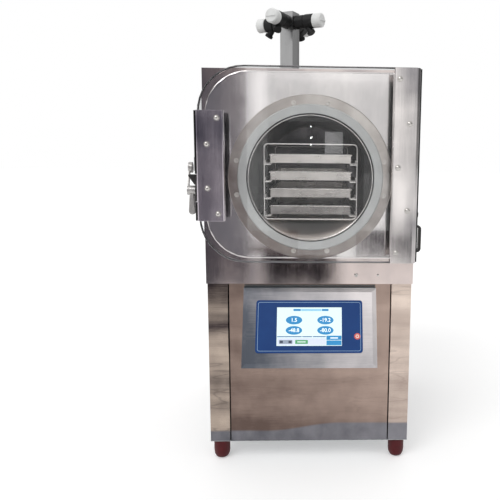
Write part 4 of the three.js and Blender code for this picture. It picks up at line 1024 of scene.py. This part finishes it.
# Dark strips that stand in for the shadow gaps over the console's top and under its foot: painted shadow.
shadow_strip_black = mottled("console_shadow_strip", (20, 60, 60), chip(34, 46, 52), chip(74, 90, 96), 0.24)
low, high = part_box("console_housing")
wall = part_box("lower_front_panel")[0].y
left, right = low.x + 1 * mm, high.x - 1 * mm
cord = 2.6 * mm
shadow_strips = bmesh.new()
for foot, front, round_off in (
    (high.z, wall - 6 * mm, 1.2 * mm), (high.z + 5 * mm, wall - 4 * mm, 1.2 * mm),
    (low.z - cord, low.y + 6 * mm, 1 * mm),
):
    block(shadow_strips, (left, front, foot), (right, wall, foot + cord), round_off)
piece("console_shadow_strips", shadow_strips, shadow_strip_black, "root")


def sheet_on(mesh, seat, outline, thickness):
    """Adds a thin sheet of this outline lying on the seat."""
    foot = [mesh.verts.new(seat @ Vector((x, y, 0))) for x, y in outline]
    head = [mesh.verts.new(seat @ Vector((x, y, thickness))) for x, y in outline]
    mesh.faces.new(head)
    mesh.faces.new(list(reversed(foot)))
    wall_between(mesh, foot, head)


def rounded_at(left, right, low, high, corner, steps=6):
    """A rectangle's outline with round corners."""
    shape = rounded((right - left) / 2, low, high, corner, steps)
    return [(x + (left + right) / 2, y) for x, y in shape]


film = mottled(
    "bezel_film", (24, 60, 24), chip(10, 52, 112), chip(20, 66, 126), 0.34, {"Specular IOR Level": 0.3},
    spread=0.14, skin=(1500, 2), deep=0.02 * mm
)
dress(film, "console_bezel", crisp=30)
sloping = (0, -1, 0.35)
seat, half = face_of("console_bezel", sloping)
line = bmesh.new()
print_film = 0.12 * mm


def framed(inset, corner):
    """An outline so far inside the bezel's edge."""
    return rounded_at(inset - half.x, half.x - inset, inset - half.y, half.y - inset, corner)


ring_on(line, seat, framed(5.5 * mm, 6 * mm), framed(6.6 * mm, 5 * mm), print_film)
piece("bezel_line", line, ink("pale_line", chip(150, 182, 214)), "root")


def disc(middle, radius, tall=None):
    """A circle's outline, or an oval's where tall is given."""
    tall = tall or radius
    angles = [math.tau * step / 40 for step in range(40)]
    return [(middle[0] + radius * math.cos(a), middle[1] + tall * math.sin(a)) for a in angles]


mark_at = (half.x - 15.5 * mm, -28 * mm)
mark = bmesh.new()
ring_on(mark, seat, disc(mark_at, 9 * mm), disc(mark_at, 5.4 * mm), 0.14 * mm)
sheet_on(mark, seat, disc(mark_at, 2.2 * mm), 0.14 * mm)
piece("bezel_mark", mark, ink("red_print", chip(220, 98, 88)), "root")
mark = bmesh.new()
ring_on(mark, seat, disc(mark_at, 5.3 * mm), disc(mark_at, 2.3 * mm), print_film)
piece("bezel_mark_ring", mark, ink("pink_print", chip(250, 214, 206)), "root")

# ---- Touch screen ----
# A lit screen with a plain layout: a title bar, four readings in blue ovals, a rule, two keys and a
# block of two keys. Nothing on it is lettered but the readings.
glossy = 0.12
screen_blue = ink("screen_blue", chip(44, 140, 198), 0.2, glossy)
screen_light = ink("screen_light", chip(240, 250, 252), 0.4, glossy)
dress(ink("screen_white", chip(222, 242, 243), 0.28, glossy), "console_display", crisp=30)
seat, half = face_of("console_display", sloping)
drawn_film = 0.1 * mm
first_layer = 0.12
second_layer = 0.24


def bar_on(mesh, left, right, low, high, corner=0.8, lift=0.0):
    """A bar on the screen, in millimetres from its middle."""
    raised = seat @ Matrix.Translation((0, 0, lift * mm))
    outline = rounded_at(*(size * mm for size in (left, right, low, high, corner)), 3)
    sheet_on(mesh, raised, outline, drawn_film)


bars = bmesh.new()
for bar in ((-46, -25, 44, 50), (36, 55, 44, 50), (49, 92, -38, -26), (49, 92, -53, -39.5)):
    bar_on(bars, *bar)
for across_at, level_at in ((-44, 18), (46, 18), (-44, -11), (46, -11)):
    sheet_on(bars, seat, disc((across_at * mm, level_at * mm), 23.5 * mm, 12.2 * mm), drawn_film)
piece("screen_blues", bars, screen_blue, "root")
for name, colour, light, drawn in (
    ("screen_pales", chip(150, 208, 236), 0.24, [(-24, 35, 44, 50)]),
    ("screen_tray", chip(214, 222, 240), 0.26, [(-91, 47.5, -52.5, -33)]),
    ("screen_rule", chip(28, 96, 160), 0.14, [
        (-92, -22, -30, -27.6), (-20, 8, -30, -27.6), (10, 47, -30, -27.6),
    ]),
    ("screen_key_grey", chip(150, 162, 178), 0.2, [(-86, -48, -49, -38, 1.2, first_layer)]),
    ("screen_key_marks", chip(66, 74, 92), 0.1, [
        (-84, -75, -47, -40, 0.6, second_layer), (-59, -50, -47, -40, 0.6, second_layer),
    ]),
    ("screen_key_green", chip(88, 166, 112), 0.2, [(-40, -4, -49, -38, 1.2, first_layer)]),
):
    bars = bmesh.new()
    for bar in drawn:
        bar_on(bars, *bar)
    piece(name, bars, ink(name, colour, light, glossy), "root")
bars = bmesh.new()
bar_on(bars, 60, 82, -34, -31, 0.6, first_layer)
bar_on(bars, -34, -10, -44.5, -42.5, 0.6, second_layer)
piece("screen_key_lights", bars, screen_light, "root")


def reading(text, across_at, level_at):
    """The mesh of plain figures on the screen."""
    figures = bpy.data.curves.new("figures", "FONT")
    figures.body = text
    figures.size = 15 * mm
    figures.align_x = "CENTER"
    figures.align_y = "CENTER"
    figures.extrude = 0.05 * mm
    figures.offset = 0.25 * mm
    figures.resolution_u = 3
    made = bpy.data.objects.new("figures", figures)
    scene.collection.objects.link(made)
    made.matrix_world = seat @ Matrix.Translation((across_at * mm, level_at * mm, 0.16 * mm))
    bpy.context.view_layer.update()
    flat = bpy.data.meshes.new_from_object(made)
    flat.transform(made.matrix_world)
    bpy.data.objects.remove(made)
    return flat


figures = bmesh.new()
for text, across_at, level_at in (
    ("1.5", -44, 18), ("-19.2", 46, 18), ("-48.8", -44, -11), ("-80.0", 46, -11)
):
    flat = reading(text, across_at, level_at)
    figures.from_mesh(flat)
    bpy.data.meshes.remove(flat)
piece("screen_readings", figures, screen_light, "root")

# ---- Right side ----
# A black bow handle and the knob of the chamber's vent valve, whose white line shows how far it is open.
zinc_cast = galvanised("zinc_cast", chip(128, 131, 134), chip(168, 171, 173))
dress(zinc_cast, "vent_valve", "electrical_box")
smooth(32, "vent_valve")
low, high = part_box("vent_knob")
middle = (low + high) / 2
half_line = 0.6 * mm
pointer = bmesh.new()
block(
    pointer, (high.x - 0.05 * mm, middle.y - half_line, middle.z + 1 * mm),
    (high.x + 0.3 * mm, middle.y + half_line, high.z - 1.4 * mm), 0.1 * mm
)
piece("vent_pointer", pointer, ink("white_paint", chip(232, 232, 228)), "vent")

# ---- Flask manifold ----
# A square stainless column welded to a bolted foot on the roof, with four black rubber valves round its
# head. Each has a white plastic cap that turns to open it.
column_steel = sheet_steel(
    "column_steel", chip(150, 150, 150), chip(196, 196, 196), (20, 20, 2), (900, 900, 12),
    dull=0.3, wave=0.3 * mm
)
dress(column_steel, "manifold_column", "manifold_base", crisp=28)
low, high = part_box("manifold_base")
hub = (low + high) / 2
to_corner = Matrix.Rotation(math.radians(-27), 4, "Z")
corner_at = 38 * mm
head = 5.5 * mm
washer = 1.35 * head
bolts = bmesh.new()
for first in (-corner_at, corner_at):
    for second in (-corner_at, corner_at):
        spot = Vector((hub.x, hub.y, high.z)) + to_corner @ Vector((first, second, 0))
        turned(bolts, [
            (0, 0), (washer, 0), (washer, 1.2 * mm), (head, 1.2 * mm), (head, 5 * mm),
            (0.8 * head, 5.6 * mm), (0, 5.6 * mm),
        ], stand(spot, (0, 0, 1)), 24, six=(3, 4))
piece("manifold_bolts", bolts, screw_steel, "root")
valve_rubber = mottled(
    "valve_rubber", (70, 70, 70), chip(10, 10, 11), chip(28, 28, 29), 0.44, {"Specular IOR Level": 0.36},
    detail=4, skin=(800, 2), deep=0.04 * mm
)
valves = [f"valve_body_{number}" for number in range(1, 5)]
dress(valve_rubber, *valves, crisp=32)
cap_plastic = mottled(
    "cap_plastic", (45, 45, 45), chip(206, 207, 206), chip(236, 237, 236), 0.3, spread=0.16, deep=0.1 * mm
)
caps = [f"valve_cap_{number}" for number in range(1, 5)]
dress(cap_plastic, *caps, crisp=32)

# ---- Rear and machinery ----
# Behind the back panel stand the finned condenser with its fan and shroud, the black compressor can and
# a zinc-plated box for the wiring. The pump's port and the mains inlet come out through the panels.
dress(bright_steel, "vacuum_port", crisp=32)
fins, tree = material("coil_fins")
place = tree.where()
part = tree.node("SeparateXYZ", {}, {"Vector": place})
fins_to_metre = 2600
plates = (part["X"] * fins_to_metre).wave()
dirt = tree.clouds(place, (18, 18, 18), 3)
tree.surface({
    "Base Color": tree.blend(dirt, chip(150, 152, 154), chip(196, 198, 200)),
    "Metallic": 1.0,
    "Roughness": 0.4 + dirt * 0.2,
    "Normal": tree.bump(plates, 0.4 * mm),
})
dress(fins, "condenser")
black_paint = mottled(
    "black_paint", (16, 16, 30), chip(34, 35, 37), chip(62, 62, 63), 0.4, skin=(420, 2), deep=0.06 * mm
)
dress(black_paint, "fan_shroud", "compressor", crisp=32)
